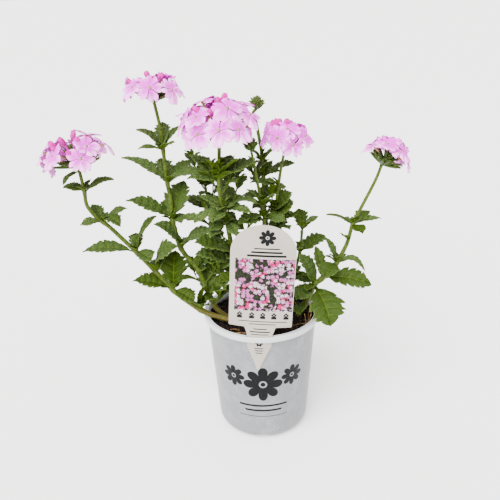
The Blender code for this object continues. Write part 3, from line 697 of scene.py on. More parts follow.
STEMS = {
    "stem_left": Stem(
        [(-15, -25, 107), (-15, -25, 119), (-22, -23, 125), (-38, -19, 127), (-55, -14, 131),
         (-70, -8, 138), (-86, -4, 150), (-102, 0, 168), (-120, 4, 188), (-144, 8, 213), (-156, 8, 224),
         (-163, 6, 237), (-163, 4, 252), (-165, 3, 274)],
        2.3, 1.2,
        [Leaf(4.3, -60, 65, 38, 0.52, 40), Leaf(6, -171, 21, 41, 0.48), Leaf(6, 82, 66, 40, 0.68),
         Leaf(6, -42, -4, 30), Leaf(7, -29, 49, 44, 0.48, 30, 0.2), Leaf(7, 95, 5, 26),
         Leaf(8, 5, 60, 43, 0.42), Leaf(8, -176, 4, 52, 0.34), Leaf(8, -48, 0, 26, 0.68),
         Leaf(8, 100, 33, 24), Leaf(9.4, 5, 30, 27, 0.46), Leaf(9.4, -42, 6, 28, 0.52, 0, 0.22),
         Leaf(11.9, -4, 23, 32, 0.46), Leaf(11.9, 155, 6, 25)],
    ),
    "stem_second": Stem(
        [(-32, -7, 107), (-32, -7, 119), (-44, -8, 131), (-53, -4, 149), (-61, 0, 170), (-77, 4, 192),
         (-83, 6, 219), (-84, 9, 240), (-86, 11, 255), (-88, 14, 286), (-89, 15, 305), (-93, 16, 330)],
        2.2, 1.1,
        [Leaf(2.7, 101, 56, 33, 0.64), Leaf(4, 49, 35, 30, 0.64),
         Leaf(5, -151, 50, 39, 0.48, -25, 0.16), Leaf(5, 4, 30, 37, 0.48), Leaf(6, -172, 30, 48, 0.44),
         Leaf(6, 62, 55, 41, 0.64), Leaf(6, -7, 6, 32, 0.3), Leaf(6, 109, 30, 30),
         Leaf(8, -174, 34, 48, 0.36), Leaf(8, 110, 42, 29), Leaf(8, -10, 22, 36, 0.46),
         Leaf(8, 39, 30, 33, 0.48), Leaf(9, -164, 43, 31), Leaf(9, -155, 10, 24, 0.34),
         Leaf(9, 33, 47, 28, 0.34), Leaf(9.1, 92, 52, 26)],
    ),
    "stem_middle": Stem(
        [(-20, 0, 107), (-20, 0, 119), (-23, -1, 150), (-26, -4, 184), (-31, -9, 225), (-35, -12, 245),
         (-36, -14, 263), (-35, -16, 280), (-34, -16, 300)],
        2.1, 1.2,
        [Leaf(2.4, -139, 0, 27), Leaf(2.8, -169, 22, 40), Leaf(3.1, -164, 26, 40), Leaf(3.0, 8, 15, 30),
         Leaf(4.4, -160, -14, 30, 0.46), Leaf(4.4, 170, 31, 26, 0.4), Leaf(4.4, -25, 4, 28, 0.4),
         Leaf(4.4, 40, 22, 25), Leaf(4.4, -112, -6, 25), Leaf(6, -167, 11, 29, 0.46),
         Leaf(6, 156, 38, 36, 0.46), Leaf(6, -134, 60, 28, 0.46), Leaf(6, -80, 64, 27, 0.58, 35),
         Leaf(6, -7, 28, 38, 0.52), Leaf(6, -40, 46, 34, 0.46), Leaf(6, 61, 39, 30)],
    ),
    "stem_right_middle": Stem(
        [(1, 11, 107), (1, 11, 119), (9, 17, 175), (14, 19, 213), (15, 19, 221), (18, 19, 247),
         (20, 18, 262), (24, 16, 284)],
        1.9, 0.9,
        [Leaf(2.6, -80, 10, 24), Leaf(2.6, 55, 12, 24), Leaf(3, -48, 40, 30, 0.68, 30),
         Leaf(3, 10, 11, 23), Leaf(3.9, -27, 54, 30, 0.64, 30), Leaf(4, -139, 54, 24, 0.46),
         Leaf(5, -172, 13, 28, 0.4)],
    ),
    "stem_right": Stem(
        [(36, -4, 107), (36, -4, 119), (43, -6, 134), (51, -8, 155), (59, -8, 163), (72, -6, 177),
         (79, -4, 190), (83, -2, 199), (87, 0, 214), (94, 1, 230), (106, 2, 256), (111, 2, 271)],
        2.2, 1.0,
        [Leaf(2, 60, -8, 28), Leaf(2.7, -125, 5, 28), Leaf(3, 148, 62, 34),
         Leaf(3, -68, -36, 44, 0.78, 0, 0.16), Leaf(3.9, 120, 70, 33, 0.36),
         Leaf(4, -10, -5, 47, 0.42, 25), Leaf(5, 154, 63, 30, 0.34),
         Leaf(5, -18, -8, 28, 0.34, 0, 0.35), Leaf(5, -119, -4, 29, 0.68), Leaf(8, -171, 26, 29, 0.22),
         Leaf(8, 31, 26, 23), Leaf(8, 4, 12, 28, 0.28)],
    ),
    "stem_budding": Stem(
        [(-6, 23, 107), (-6, 23, 119), (6, 30, 188), (4, 33, 230), (4, 35, 252), (3, 37, 274),
         (-2, 39, 304), (-5, 39, 313), (-1, 39, 318)],
        1.8, 1.0,
        [Leaf(2, 60, 10, 28), Leaf(3, 44, 12, 25), Leaf(3, 150, 4, 24), Leaf(4, -7, 26, 34, 0.42),
         Leaf(4, -160, 42, 22, 0.52), Leaf(4.7, -23, 46, 22, 0.68)],
    ),
    "stem_front_bud": Stem(
        [(-11, 10, 107), (-11, 10, 119), (-3, 5, 175), (4, 1, 220), (2, 1, 235), (-2, 1, 259),
         (-6, -1, 283), (-7, -2, 289)],
        1.6, 0.8,
        [Leaf(3, -143, 6, 30), Leaf(3, -35, 10, 24), Leaf(3.9, -156, 52, 25, 0.34),
         Leaf(3.9, -45, 44, 22)],
    ),
    "stem_back_left": Stem(
        [(-21, 27, 107), (-21, 27, 119), (-34, 36, 150), (-46, 42, 185), (-50, 44, 215), (-54, 45, 240)],
        1.8, 1.0,
        [Leaf(2, 170, 20, 36), Leaf(2, -10, 15, 26), Leaf(3, 85, 25, 34), Leaf(3, -100, 15, 30),
         Leaf(4, 175, 25, 32), Leaf(4, 15, 28, 28), Leaf(5, 80, 45, 24), Leaf(5, -75, 50, 22),
         Leaf(5, 160, 40, 22, 0.46), Leaf(5, -5, 40, 22, 0.46)],
    ),
    "stem_back_right": Stem(
        [(18, 25, 107), (18, 25, 119), (32, 32, 145), (40, 33, 172), (42, 34, 196)],
        1.7, 1.0,
        [Leaf(2, -50, 10, 30), Leaf(2, 120, 15, 34), Leaf(3, 30, 20, 34), Leaf(3, -115, 30, 28),
         Leaf(4, 95, 40, 26), Leaf(4, -80, 42, 24), Leaf(4, 10, 40, 22, 0.46)],
    ),
}

# %% [markdown]
# The five heads stand at the ends of their stems. For each, the table gives which way and how far it
# leans, the half width and the rise of its dome of florets, how far the dome stands above the stem's
# end, a floret's radius, the room between florets in degrees, and the azimuths and pitches of the
# florets that face the camera. Small leaves that show near them, and the pink buds, have tables too.

# %% Heads, small leaves and buds
HEADS = {
    "head_left": Head("stem_left", 180, 6, 29, 20, 11, 12.0, 49,
                      [(-64, 8), (-45, 33), (-116, 22), (190, 22), (15, 18), (60, 46)]),
    "head_second": Head("stem_second", 0, 0, 23, 11, 10, 11.0, 56,
                        [(-88, 26), (-35, 8), (-138, 24), (175, 2), (14, 6)]),
    "head_middle": Head("stem_middle", 0, 0, 31, 23, 14, 12.5, 45,
                        [(-64, 48), (-127, 29), (-86, 4), (-54, 2), (-119, -4), (150, 58),
                         (183, 12), (-14, 24), (22, 50)]),
    "head_right_middle": Head("stem_right_middle", 0, 0, 20, 14, 12, 11.0, 62,
                              [(-81, 43), (-111, 12), (-158, 15), (-69, -15), (-28, 8)]),
    "head_right": Head("stem_right", 0, 30, 19, 13, 11, 11.0, 64,
                       [(-132, 45), (-55, -8), (-60, 50), (-165, 4), (-110, -6)]),
}

SMALL_LEAVES = {
    "stem_left": (Leaf(9.4, 139, 43, 22), Leaf(9.4, -164, 0, 22), Leaf(12.8, -165, -35, 20, 0.56)),
    "stem_second": (Leaf(6, -61, 14, 24, 0.46), Leaf(9, -58, 26, 22)),
    "stem_middle": (Leaf(3.9, -135, -5, 21), Leaf(3.9, -63, -15, 20)),
    "stem_right": (Leaf(5, 57, -6, 22), Leaf(7, -124, 38, 17, 0.68), Leaf(8, -70, -4, 19, 0.68)),
    "stem_budding": (Leaf(2, -125, 12, 22), Leaf(4.7, -155, 47, 19, 0.64)),
}
BUDS = {  # where the pink buds of each head end, from its foot, in the head's own axes
    "head_left": ((3, -27, 21), (10, -17, 29), (4, -9, 33), (-4, -16, 30), (-14, -16, 27), (-11, -22, 24),
                  (2, 3, 30), (14, -2, 27)),
    "head_second": ((9, -3, 23), (-22, -2, 18), (-14, 1, 21), (-5, 4, 24), (2, 8, 22)),
    "head_middle": ((6, 6, 37), (-6, -22, 31), (-16, -17, 32), (-2, -8, 36), (0, 12, 34)),
    "head_right_middle": ((-9, -7, 25), (7, 5, 26), (-5, 5, 26), (2, -5, 26)),
    "head_right": ((-7, -2, 26), (-1, -5, 26), (4, 4, 25)),
}
print(sum(len(stem.leaves) for stem in STEMS.values()), "leaves on", len(STEMS), "stems")


# %% [markdown]
# A smooth curve through the route's places, a Catmull-Rom spline, gives a stem its gentle bends.

# %% Following a stem
def along(route, at):
    points = np.array(route, float)
    at = np.atleast_1d(np.asarray(at, float))
    i = np.minimum(at.astype(int), len(points) - 2)
    t = (at - i)[:, None]
    before, start = points[np.maximum(i - 1, 0)], points[i]
    end, after = points[i + 1], points[np.minimum(i + 2, len(points) - 1)]
    return 0.5 * (2 * start + (end - before) * t + (2 * before - 5 * start + 4 * end - after) * t ** 2
                  + (3 * start - before - 3 * end + after) * t ** 3)


# %% [markdown]
# ## Leaves
#
# A verbena leaf is a narrow oval on a short winged stalk, cut into blunt forward-pointing teeth. Its
# veins are sunk and the flesh between them bulges, like quilting. A flat outline with a picture on it
# would do from afar, but not from the side. So the blade is a grid whose rows follow the side veins:
# each tooth gets four rows, the vein runs to its tip, and the height of each point does the quilting.

# %% Leaf blade
LEAF_COLUMNS = np.array((-1, -0.82, -0.55, -0.3, -0.07, 0, 0.07, 0.3, 0.55, 0.82, 1))
SMALL_LEAF_COLUMNS = np.array((-1, -0.6, -0.1, 0, 0.1, 0.6, 1))
TOOTH_STEPS = np.array((0.0, 0.2, 0.46, 0.74, 0.93))
TOOTH_WIDTHS = np.array((0.0, 0.78, 0.98, 1.0, 0.76))
TOOTH_TIP = 3
STALK_SHARE = 0.13
WIDEST = 0.34
VEIN_SWEEP = 0.5
BLADE_FOLD = math.radians(16)


def blade_rows(teeth):
    """The rows' shares of the blade's length, and which of its tooth's rows each one is."""
    starts = np.arange(teeth) / teeth
    shares = starts[:, None] + TOOTH_STEPS / teeth
    return np.append(shares, 1.0), np.append(np.tile(np.arange(len(TOOTH_STEPS)), teeth), TOOTH_TIP)


def flat_leaf(length, half_width, teeth, columns, draw):
    """A leaf's points as (along, across, height), and how near each is to a vein."""
    share, row = blade_rows(teeth)
    envelope = (share / WIDEST) ** 0.5 * ((1 - share) / (1 - WIDEST)) ** 0.78
    depth = 0.30 - 0.06 * share
    tooth = 1 - depth * (1 - TOOTH_WIDTHS[row])
    stalk_width = max(0.5, 0.07 * half_width)
    stalk = np.array((0.0, 0.4, 0.8))
    along_mid = np.concatenate([stalk * STALK_SHARE, STALK_SHARE + (1 - STALK_SHARE) * share]) * length
    full = np.concatenate([np.full(3, stalk_width), np.maximum(half_width * envelope, stalk_width)])
    full[-1] = 0.15
    tooth = np.concatenate([np.ones(3), tooth])
    vein_row = np.concatenate([np.zeros(3), row == TOOTH_TIP])
    past_vein = (TOOTH_STEPS[row] - TOOTH_STEPS[TOOTH_TIP]) % 1
    between = np.concatenate([np.zeros(3), np.sin(np.pi * past_vein)])
    u = columns[None, :]
    reach = np.abs(u)
    cut_back = 1 - (1 - tooth[:, None]) * reach ** 2
    jag = 1 + 0.06 * draw.standard_normal((len(full), 1)) * reach ** 3
    across = u * full[:, None] * cut_back * jag
    sweep = VEIN_SWEEP * np.minimum(1, 3 * (1 - along_mid / length))
    ahead = along_mid[:, None] + sweep[:, None] * np.abs(across)
    quilt = 0.15 * half_width * between[:, None] * np.sin(np.pi * np.minimum(reach, 0.98)) ** 0.7
    groove = -0.08 * half_width * np.exp(-(u / 0.09) ** 2)
    phase_of_wave = draw.uniform(0, math.tau)
    wave = 0.10 * half_width * reach ** 2 * np.sin(ahead / length * 9 + phase_of_wave + 1.5 * np.sign(u))
    fold = np.abs(across) * math.tan(BLADE_FOLD) * (1 - 0.35 * reach)
    height = fold + quilt + groove + wave
    midrib = np.exp(-(u / 0.1) ** 2) * np.ones_like(across)
    vein = np.maximum(vein_row[:, None] * (1 - 0.35 * reach), midrib)
    return ahead, across, height, vein


print(len(blade_rows(6)[0]), "rows in a blade of six teeth")

# %% [markdown]
# A flat blade becomes a leaf on the plant once it has a direction, a roll and an arch. Bending it with
# a modifier would take one object for each leaf. Three axes and a parabola place all its points at once.

# %% Placing a leaf
LEAF_THICKNESS = 0.4
BROADER = 1.04
LIGHT_TILT = 16  # degrees that leaves turn their faces to the light
TINY_LEAF, SHORT_LEAF = 19.0, 36.0  # shorter ones have fewer teeth, as broad ones do
BROAD_LEAF = 0.6
LEAF_SLOT, STEM_SLOT, CALYX_SLOT, HAIR_SLOT = range(4)


def leaf_axes(leaf):
    ahead = direction(leaf.azimuth, leaf.pitch)
    side = unit(np.cross(ahead, UP))
    lift = np.cross(side, ahead)
    roll = Matrix.Rotation(math.radians(leaf.roll + LIGHT_TILT * ahead[0]), 3, Vector(ahead))
    return ahead, np.array(roll @ Vector(side)), lift, np.array(roll @ Vector(lift))


def add_leaf(form, base, leaf, tint, draw):
    """One leaf, from the middle of its stem, in the direction that the table gives."""
    small = leaf.length < TINY_LEAF
    teeth = 3 if small else 5 if leaf.length < SHORT_LEAF or leaf.width > BROAD_LEAF else 6
    columns = SMALL_LEAF_COLUMNS if small else LEAF_COLUMNS
    half_width = leaf.length * leaf.width * BROADER / 2
    along_leaf, across, height, vein = flat_leaf(leaf.length, half_width, teeth, columns, draw)
    ahead, side, lift, normal = leaf_axes(leaf)
    share = along_leaf / leaf.length
    rise = 4 * share * (1 - share) * leaf.arch * leaf.length
    top = (base + along_leaf[..., None] * ahead + rise[..., None] * lift
           + across[..., None] * side + height[..., None] * normal)
    thin = LEAF_THICKNESS * (1 - 0.5 * (np.abs(columns) == 1))[None, :, None]
    bottom = top - normal * thin
    under = np.concatenate([np.zeros(vein.size), np.ones(vein.size)])
    edge = np.abs(columns) ** 10 * np.ones_like(across)
    form.add(shell(top, bottom), LEAF_SLOT, under=under, vein=np.tile(vein.reshape(-1), 2), tint=tint,
             edge=np.tile(edge.reshape(-1), 2))


# %% [markdown]
# A leaf is dark above, with a grey bloom of short hairs, and paler and yellower below. The bloom is partly
# painted light: it is laid heaviest on the dark upper leaves, lifting their shade and standing in for
# highlights. The marks that its mesh carries say which face and how near a vein, and a fine mesh of lesser
# veins is a bump.

# %% Leaf finish
LEAF_DARK = colour(33, 53, 17)
LEAF_FRESH = colour(36, 52, 0)
LEAF_BLOOM_AND_PAINTED_LIGHT = colour(91, 104, 55)
LEAF_UNDER = colour(56, 74, 8)
LEAF_EDGE = colour(86, 103, 46)
VEIN_PALE = colour(72, 90, 20)


def leaf_recipe(wire):
    where = places(wire)
    under, vein, tint, edge = (mark(wire, name) for name in ("under", "vein", "tint", "edge"))
    mottle = grain(where, 7.0, 3.0)
    fine = grain(where, 0.9, 3.0, 0.65)
    net = step(cells(where, 1.5), 0.0, 0.14)
    above = mix(LEAF_DARK, LEAF_FRESH, step(tint + 0.35 * (mottle - 0.5), 0.1, 0.95))
    # partly painted light: the grey bloom of hairs, heaviest on the upper leaves, lifts their shade and
    # stands in for highlights
    above = mix(above, LEAF_BLOOM_AND_PAINTED_LIGHT, step(fine + 0.25 * (1 - net), 0.48, 0.8) * (0.8 - 0.8 * tint))
    above = mix(above, VEIN_PALE, step(vein, 0.55, 0.95) * 0.45)
    above = mix(above, LEAF_EDGE, step(edge, 0.3, 1.0) * 0.6)
    below = mix(LEAF_UNDER, LEAF_DARK, step(mottle, 0.35, 0.8) * 0.35)
    below = mix(below, VEIN_PALE, step(vein, 0.5, 0.95) * 0.6)
    relief = 0.6 * net + 0.4 * fine - 0.5 * step(vein, 0.55, 1.0) * (1 - 2 * under)
    return {
        "Base Color": mix(above, below, under),
        "Roughness": 0.52 + 0.2 * fine + 0.1 * under,
        "Normal": bump(relief, 0.16, 0.8),
    }


# %% [markdown]
# Stems are a paler green than leaves, brown and woody near the soil and purplish at the joints. Calyces
# are ribbed and often end in purple teeth. One flat green would make toys of them, so a few tones are
# mixed by noise and by the marks on the mesh, as on a leaf.

# %% Stem, calyx and hair finishes
STEM_GREEN = colour(64, 78, 18)
STEM_SHADE = colour(42, 56, 14)
STEM_BROWN = colour(78, 54, 26)
JOINT_PURPLE = colour(112, 76, 84)
WOODY_LOW, WOODY_HIGH = 122.0, 150.0  # stems are brown and woody below these heights


def stem_recipe(wire):
    where = places(wire)
    height = parts(where)[2] / MM
    streak = grain(where, 2.5, 3.0)
    base = mix(STEM_GREEN, STEM_SHADE, step(streak, 0.4, 0.7))
    woody = step(height + 24 * (grain(where, 9.0) - 0.5), WOODY_HIGH, WOODY_LOW)
    base = mix(base, STEM_BROWN, woody * 0.55)
    joint = step(mark(wire, "tint"), 0.4, 1.0)
    base = mix(base, JOINT_PURPLE, joint * step(streak, 0.45, 0.7) * 0.35)
    return {
        "Base Color": base,
        "Roughness": 0.5 + 0.15 * streak,
        "Normal": bump(grain(where, 0.5, 2.0), 0.08, 0.7),
    }


def calyx_recipe(wire):
    where = places(wire)
    tip, tint = mark(wire, "vein"), mark(wire, "tint")
    base = mix(colour(38, 56, 16), colour(72, 90, 32), step(grain(where, 1.2, 3.0), 0.35, 0.7))
    base = mix(base, colour(92, 56, 60), step(tip, 0.75, 1.0) * step(tint, 0.4, 0.8) * 0.5)
    return {
        "Base Color": base,
        "Roughness": 0.55 + 0.15 * tint,
        "Normal": bump(grain(where, 0.4), 0.06, 0.6),
    }


def hair_recipe(wire):
    return {"Base Color": mix(colour(150, 158, 128), colour(190, 194, 172), grain(places(wire), 2.0))}


SOFT_LIGHT = {"Subsurface_Weight": 0.08, "Subsurface_Radius": (0.0008, 0.0012, 0.0003)}
leaf_finish = finish("verbena_leaf", leaf_recipe, Specular_IOR_Level=0.08, **SOFT_LIGHT)
stem_finish = finish("verbena_stem", stem_recipe, Specular_IOR_Level=0.1)
calyx_finish = finish("verbena_calyx", calyx_recipe, Specular_IOR_Level=0.15)
hair_finish = finish("plant_hair", hair_recipe, Roughness=0.6)
FOLIAGE = [leaf_finish, stem_finish, calyx_finish, hair_finish]
print("foliage finishes:", [material.name for material in FOLIAGE])

# %% [markdown]
# ## Stems
#
# A verbena stem is square with rounded ridges, and swells at each joint where leaves leave it. It tapers
# upwards. A few hundred hairs stand out of it; each is a three-sided needle a millimetre long.

# %% Stem tube and hairs
STEM_STEP = 2.4
FULLNESS = 1.28  # a square stem looks thicker than a round one of the same size
HAIR_LENGTH = 1.1
HAIR_RADIUS = 0.05


def square_section(angles):
    return 1 + 0.085 * np.cos(4 * angles)


def stem_line(stem):
    """Even steps up a stem: its places, their counts and its radii, with a swelling at each joint."""
    fine = np.linspace(0, len(stem.route) - 1, 400)
    steps = np.diff(along(stem.route, fine), axis=0)
    walked = np.concatenate([[0], np.cumsum(np.linalg.norm(steps, axis=1))])
    at = np.interp(np.arange(0, walked[-1], STEM_STEP), walked, fine)
    at = np.append(at, len(stem.route) - 1)
    radii = stem.thick + (stem.thin - stem.thick) * at / at[-1]
    joint = np.zeros(len(at))
    place = np.interp(at, fine, walked)
    for leaf in stem.leaves:
        centre = np.interp(leaf.at, fine, walked)
        joint = np.maximum(joint, np.exp(-((place - centre) / 2.6) ** 2))
    return along(stem.route, at), at, radii * FULLNESS * (1 + 0.28 * joint), joint


def add_stem(form, stem):
    line, at, radii, joint = stem_line(stem)
    ring = rings(line, radii, 12, square_section, math.pi / 4)
    form.add(closed_tube(ring), STEM_SLOT, tint=np.repeat(joint, 12))
    return line, radii


def add_hairs(form, line, radii, count, draw):
    """Needles that stand out of a tube all round, in one array."""
    i = draw.integers(0, len(line) - 1, count)
    t = draw.random((count, 1))
    ahead = unit(line[i + 1] - line[i])
    around = unit(np.cross(ahead, draw.standard_normal((count, 3))))
    root = line[i] * (1 - t) + line[i + 1] * t + around * (radii[i] * 0.96)[:, None]
    out = unit(around + 0.35 * draw.standard_normal((count, 3)))
    tip = root + out * (HAIR_LENGTH * draw.uniform(0.6, 1.2, count))[:, None]
    beside = unit(np.cross(out, ahead))
    third = np.cross(out, beside)
    corners = [root + HAIR_RADIUS * (math.cos(a) * beside + math.sin(a) * third) for a in (0, 2.09, 4.19)]
    points = np.stack([*corners, tip], 1).reshape(-1, 3)
    face = np.array(((0, 1, 3, -1), (1, 2, 3, -1), (2, 0, 3, -1), (0, 2, 1, -1)))
    faces = (face[None] + 4 * np.arange(count)[:, None, None]).reshape(-1, 4)
    faces[:, 3] = -1
    form.add((points, faces), HAIR_SLOT)


# %% [markdown]
# Young leaves in the big leaves' armpits fill out the plant: up to two in each, or four where stems
# grow close. Their directions follow the big leaf's, turned a little, and come from a seeded draw.

# %% Young leaves
def leaf_tint(leaf, base, draw):
    """From 1, fresh yellow-green, low on the plant to 0, dark, at its top."""
    return float(np.clip(0.68 - (base[2] - 150) / 150 + 0.3 * draw.standard_normal(), 0, 1))


CROWDED_LEFT, CROWDED_RIGHT, CROWDED_TOP = -62.0, 32.0, 285.0  # where stems grow close


def young_leaves(leaf, base, draw):
    crowded = CROWDED_LEFT < base[0] < CROWDED_RIGHT and base[2] < CROWDED_TOP
    found = []
    for turn in (-1, 1, -0.4, 0.4) if crowded else (-1, 1):
        if draw.random() < 0.9:
            length = min(leaf.length, 36) * draw.uniform(0.35, 0.7 if crowded else 0.55)
            azimuth = leaf.azimuth + turn * draw.uniform(30, 75)
            found.append(Leaf(leaf.at, azimuth, leaf.pitch * 0.3 + draw.uniform(15, 65), length,
                              draw.uniform(0.42, 0.56), draw.uniform(-25, 25), 0.14))
    return found


# %% [markdown]
# Side shoots grow from the joints too. Each is a thin stem with three crossed pairs of small leaves,
# every pair a quarter turn from the one below, and a tuft at its tip.

# %% Side shoots
SHOOTS = {  # each one's place on its stem, azimuth, pitch and length
    "stem_second": ((2.3, -60, 45, 28), (3.4, 20, 50, 30), (3.2, 150, 40, 24)),
    "stem_middle": ((3.2, -20, 55, 38), (3.4, 170, 50, 36), (4.2, 30, 60, 34), (2.3, -150, 30, 36),
                    (2.4, -60, 35, 28), (5.4, 150, 62, 24), (5.3, 10, 60, 26)),
    "stem_budding": ((2.6, -60, 55, 34), (3.3, 170, 60, 26), (2.2, 20, 45, 34)),
    "stem_right_middle": ((2.5, 0, 55, 30),),
    "stem_right": ((1.7, -150, 45, 24),),
    "stem_back_left": ((3.2, -100, 60, 42), (4.2, -60, 70, 40), (4.8, 150, 65, 34), (2.3, -70, 35, 36),
                       (2.2, 180, 40, 34), (3.4, 30, 55, 36)),
    "stem_back_right": ((1.8, -80, 30, 28),),
}
SHOOT_RADIUS = 0.75
SHOOT_JOINTS = ((0.4, 23), (0.7, 19), (0.95, 14), (1.0, 9))  # share of the shoot, leaf length


def shoot_leaves(azimuth, pitch, draw):
    """(place along the shoot, leaf) pairs from its lowest joint to its tip."""
    found = []
    for k, (share, length) in enumerate(SHOOT_JOINTS):
        for turn in (90, -90):
            if k % 2 == 0:
                way = azimuth + turn * 0.8, 0.4 * pitch + draw.uniform(-15, 25)
            else:
                way = azimuth + (turn + 90), draw.uniform(20, 50) + (20 if turn < 0 else 0)
            length_here = length * draw.uniform(0.8, 1.2)
            found.append((share, Leaf(0, way[0] + draw.uniform(-15, 15), way[1], length_here,
                                      draw.uniform(0.46, 0.6), draw.uniform(-20, 20), 0.12)))
    return found


def add_shoot(form, foot, azimuth, pitch, length, draw):
    tip = foot + direction(azimuth, pitch) * length * 0.85 + UP * 0.25 * length
    bend = foot + direction(azimuth, pitch * 0.6) * length * 0.45
    line = curve_points((foot, bend, tip), 14)
    radii = np.linspace(1.15, 0.7, 14) * SHOOT_RADIUS
    form.add(closed_tube(rings(line, radii, 8, square_section)), STEM_SLOT)
    for share, leaf in shoot_leaves(azimuth, pitch, draw):
        base = line[int(share * 13)]
        add_leaf(form, base, leaf, leaf_tint(leaf, base, draw), draw)


# %% [markdown]
# ## Green buds and calyces
#
# Every floret sits in a calyx: a ribbed green tube about 10 mm long with five fine teeth. Before the
# petals come, the calyces are packed into a green knob. Both are tubes here with ten sides, whose ribs
# and teeth come from moving every second point.

# %% Calyx and bud cluster
CALYX_SIDES = 10


def ribbed(angles):
    return 1 + 0.11 * np.cos(5 * angles)


def add_calyx(form, line, radius, tooth, tint):
    """A ribbed tube along a line that ends in five teeth."""
    count = len(line)
    share = np.linspace(0, 1, count)
    radii = radius * (0.55 + 0.55 * np.sin(np.pi * np.minimum(share * 0.75 + 0.08, 1)))
    ring = rings(line, radii, CALYX_SIDES, ribbed)
    ahead = unit(line[-1] - line[-2])
    lip = ring[-1] + ahead * 0.4 * tooth
    points = ring[-1] + (ring[-1] - line[-1]) * 0.12 + ahead * tooth
    lip[::2] = points[::2]
    inside = line[-1] + (ring[-1] - line[-1]) * 0.7
    ring = np.concatenate([ring, lip[None], inside[None]])
    along_it = np.concatenate([share, [1.0, 0.9]])
    form.add(closed_tube(ring), CALYX_SLOT, vein=np.repeat(along_it, CALYX_SIDES), tint=tint)


def add_green_bud(form, foot, tip, thick, draw):
    """An unopened calyx: widest below its middle, drawn to a point."""
    middle = (np.asarray(foot) + np.asarray(tip)) / 2
    bend = middle + 0.06 * np.linalg.norm(tip - foot) * draw.standard_normal(3)
    line = curve_points((foot, bend, tip), 7)
    radii = thick * np.array((0.5, 0.85, 1.0, 0.95, 0.7, 0.4, 0.1))
    ring = rings(line, radii, CALYX_SIDES, ribbed)
    along_it = np.repeat(np.linspace(0, 1, 7), CALYX_SIDES)
    form.add(closed_tube(ring), CALYX_SLOT, vein=along_it, tint=draw.random())


def add_bud_cluster(form, top, count, height, draw):
    for k in range(count):
        share = (k + 0.5) / count
        way = direction(k * GOLDEN_ANGLE, 90 - 74 * share)
        foot = top + UP * (0.28 * height * (1 - share)) - way
        tip = top + UP * 1.5 + way * height * (0.98 - 0.12 * share) * draw.uniform(0.9, 1.05)
        add_green_bud(form, foot, tip, 1.8, draw)


# %% [markdown]
# ## Where a head's florets stand
#
# A head is a dome of florets on one short axis. The florets that face the camera have places of their
# own. The rest fill the dome by the golden angle, each at least so many degrees from the others.

# %% Florets on the dome
FILL_COUNT = 260
TOP_OF_FILL = 0.88  # share of the dome's height
LOWEST_FLORET = -12  # degrees
CUP_HEIGHT = 6.5
FLORET_FLARE = 0.3
BUD_ROOM = math.cos(math.radians(20))  # no filling as near as this to a bud
FAN_SHOWS = ((-110, -6), (-55, -8))  # florets left out, so that the right head's calyces show below
FRONT_FLOOR = {"head_left": 30, "head_second": 22, "head_right": 28}  # no filling lower than this in front
OPEN_TOP = {"head_left": 20}  # no filling higher than this, where green buds show
CROWDING = 0.66  # the fine heads hold more florets than the solid ones, which leave out hidden ones


def head_frame(head):
    """The axes of a head as columns, and its origin at the end of its stem."""
    top = np.array(STEMS[head.stem].route[-1], float)
    tilt = Matrix.Rotation(math.radians(head.lean), 3, Vector(direction(head.lean_to + 90, 0)))
    return np.array(tilt), top


def floret_directions(head_name):
    head = HEADS[head_name]
    found = [pair for pair in head.chosen if pair not in FAN_SHOWS]
    ways = [direction(*pair) for pair in found]
    bud_ways = [unit((np.array(tip) - UP * head.lift) / (head.spread, head.spread, head.rise))
                for tip in BUDS[head_name]]
    least = math.cos(math.radians(head.spacing * CROWDING))
    lowest = math.sin(math.radians(LOWEST_FLORET))
    for k in range(FILL_COUNT):
        height = TOP_OF_FILL + (lowest - TOP_OF_FILL) * k / (FILL_COUNT - 1)
        azimuth, pitch = k * GOLDEN_ANGLE, math.degrees(math.asin(height))
        way = direction(azimuth, pitch)
        if way[1] < -0.2 and pitch < FRONT_FLOOR.get(head_name, -90) or pitch > OPEN_TOP.get(head_name, 90):
            continue
        if any(np.dot(way, bud_way) > BUD_ROOM for bud_way in bud_ways):
            continue
        if all(np.dot(way, other) < least for other in ways):
            found.append((azimuth, pitch))
            ways.append(way)
    return found


def floret_place(head, azimuth, pitch, sink):
    """The floret's eye, the way it faces and the point that its tube grows from, in the head's frame."""
    way = direction(azimuth, pitch)
    dome = np.array((head.spread, head.spread, head.rise))
    eye = np.array((0, 0, head.lift)) + way * (dome - sink)
    out = unit(unit(way / dome) + FLORET_FLARE * UP)
    foot = np.array((2.4 * way[0], 2.4 * way[1], CUP_HEIGHT - 2 + 2.5 * max(way[2], -0.4)))
    return eye, out, foot


def floret_line(place):
    """The bend of a floret's tube, which its calyx shares, and how far its eye is from its foot."""
    eye, out, foot = place
    length = np.linalg.norm(eye - foot)
    middle = (eye + foot) / 2 + UP * 0.12 * length
    return curve_points((foot, middle, eye - out), 12), length


print("florets:", {head_name: len(floret_directions(head_name)) for head_name in HEADS})

# %% [markdown]
# ## Leafy stems
#
# Each stem piece is its tube, leaves, young leaves and hairs. Where it carries a head, the head's
# calyces and the green young buds in its middle belong to it too, because they are green.

# %% Building the stems
GREEN_BUDS = {"head_left": (26, 0.74)}  # how many show in a head's middle, and how high they reach
CUP_PROFILE = np.array(((1.3, -2.0), (1.9, 1.0), (3.4, 4.0), (3.8, 6.5), (2.6, 9.0), (0.8, 10.5)))
FAN_CALYCES = 15  # the lowest calyces, which show under the petals
LONG_FLORET = 24.0  # a calyx covers a smaller share of a floret longer than this
BUD_CLUSTERS = {"stem_budding": (38, 11.0), "stem_front_bud": (34, 10.0)}  # buds, height
STEM_HAIRS = 500


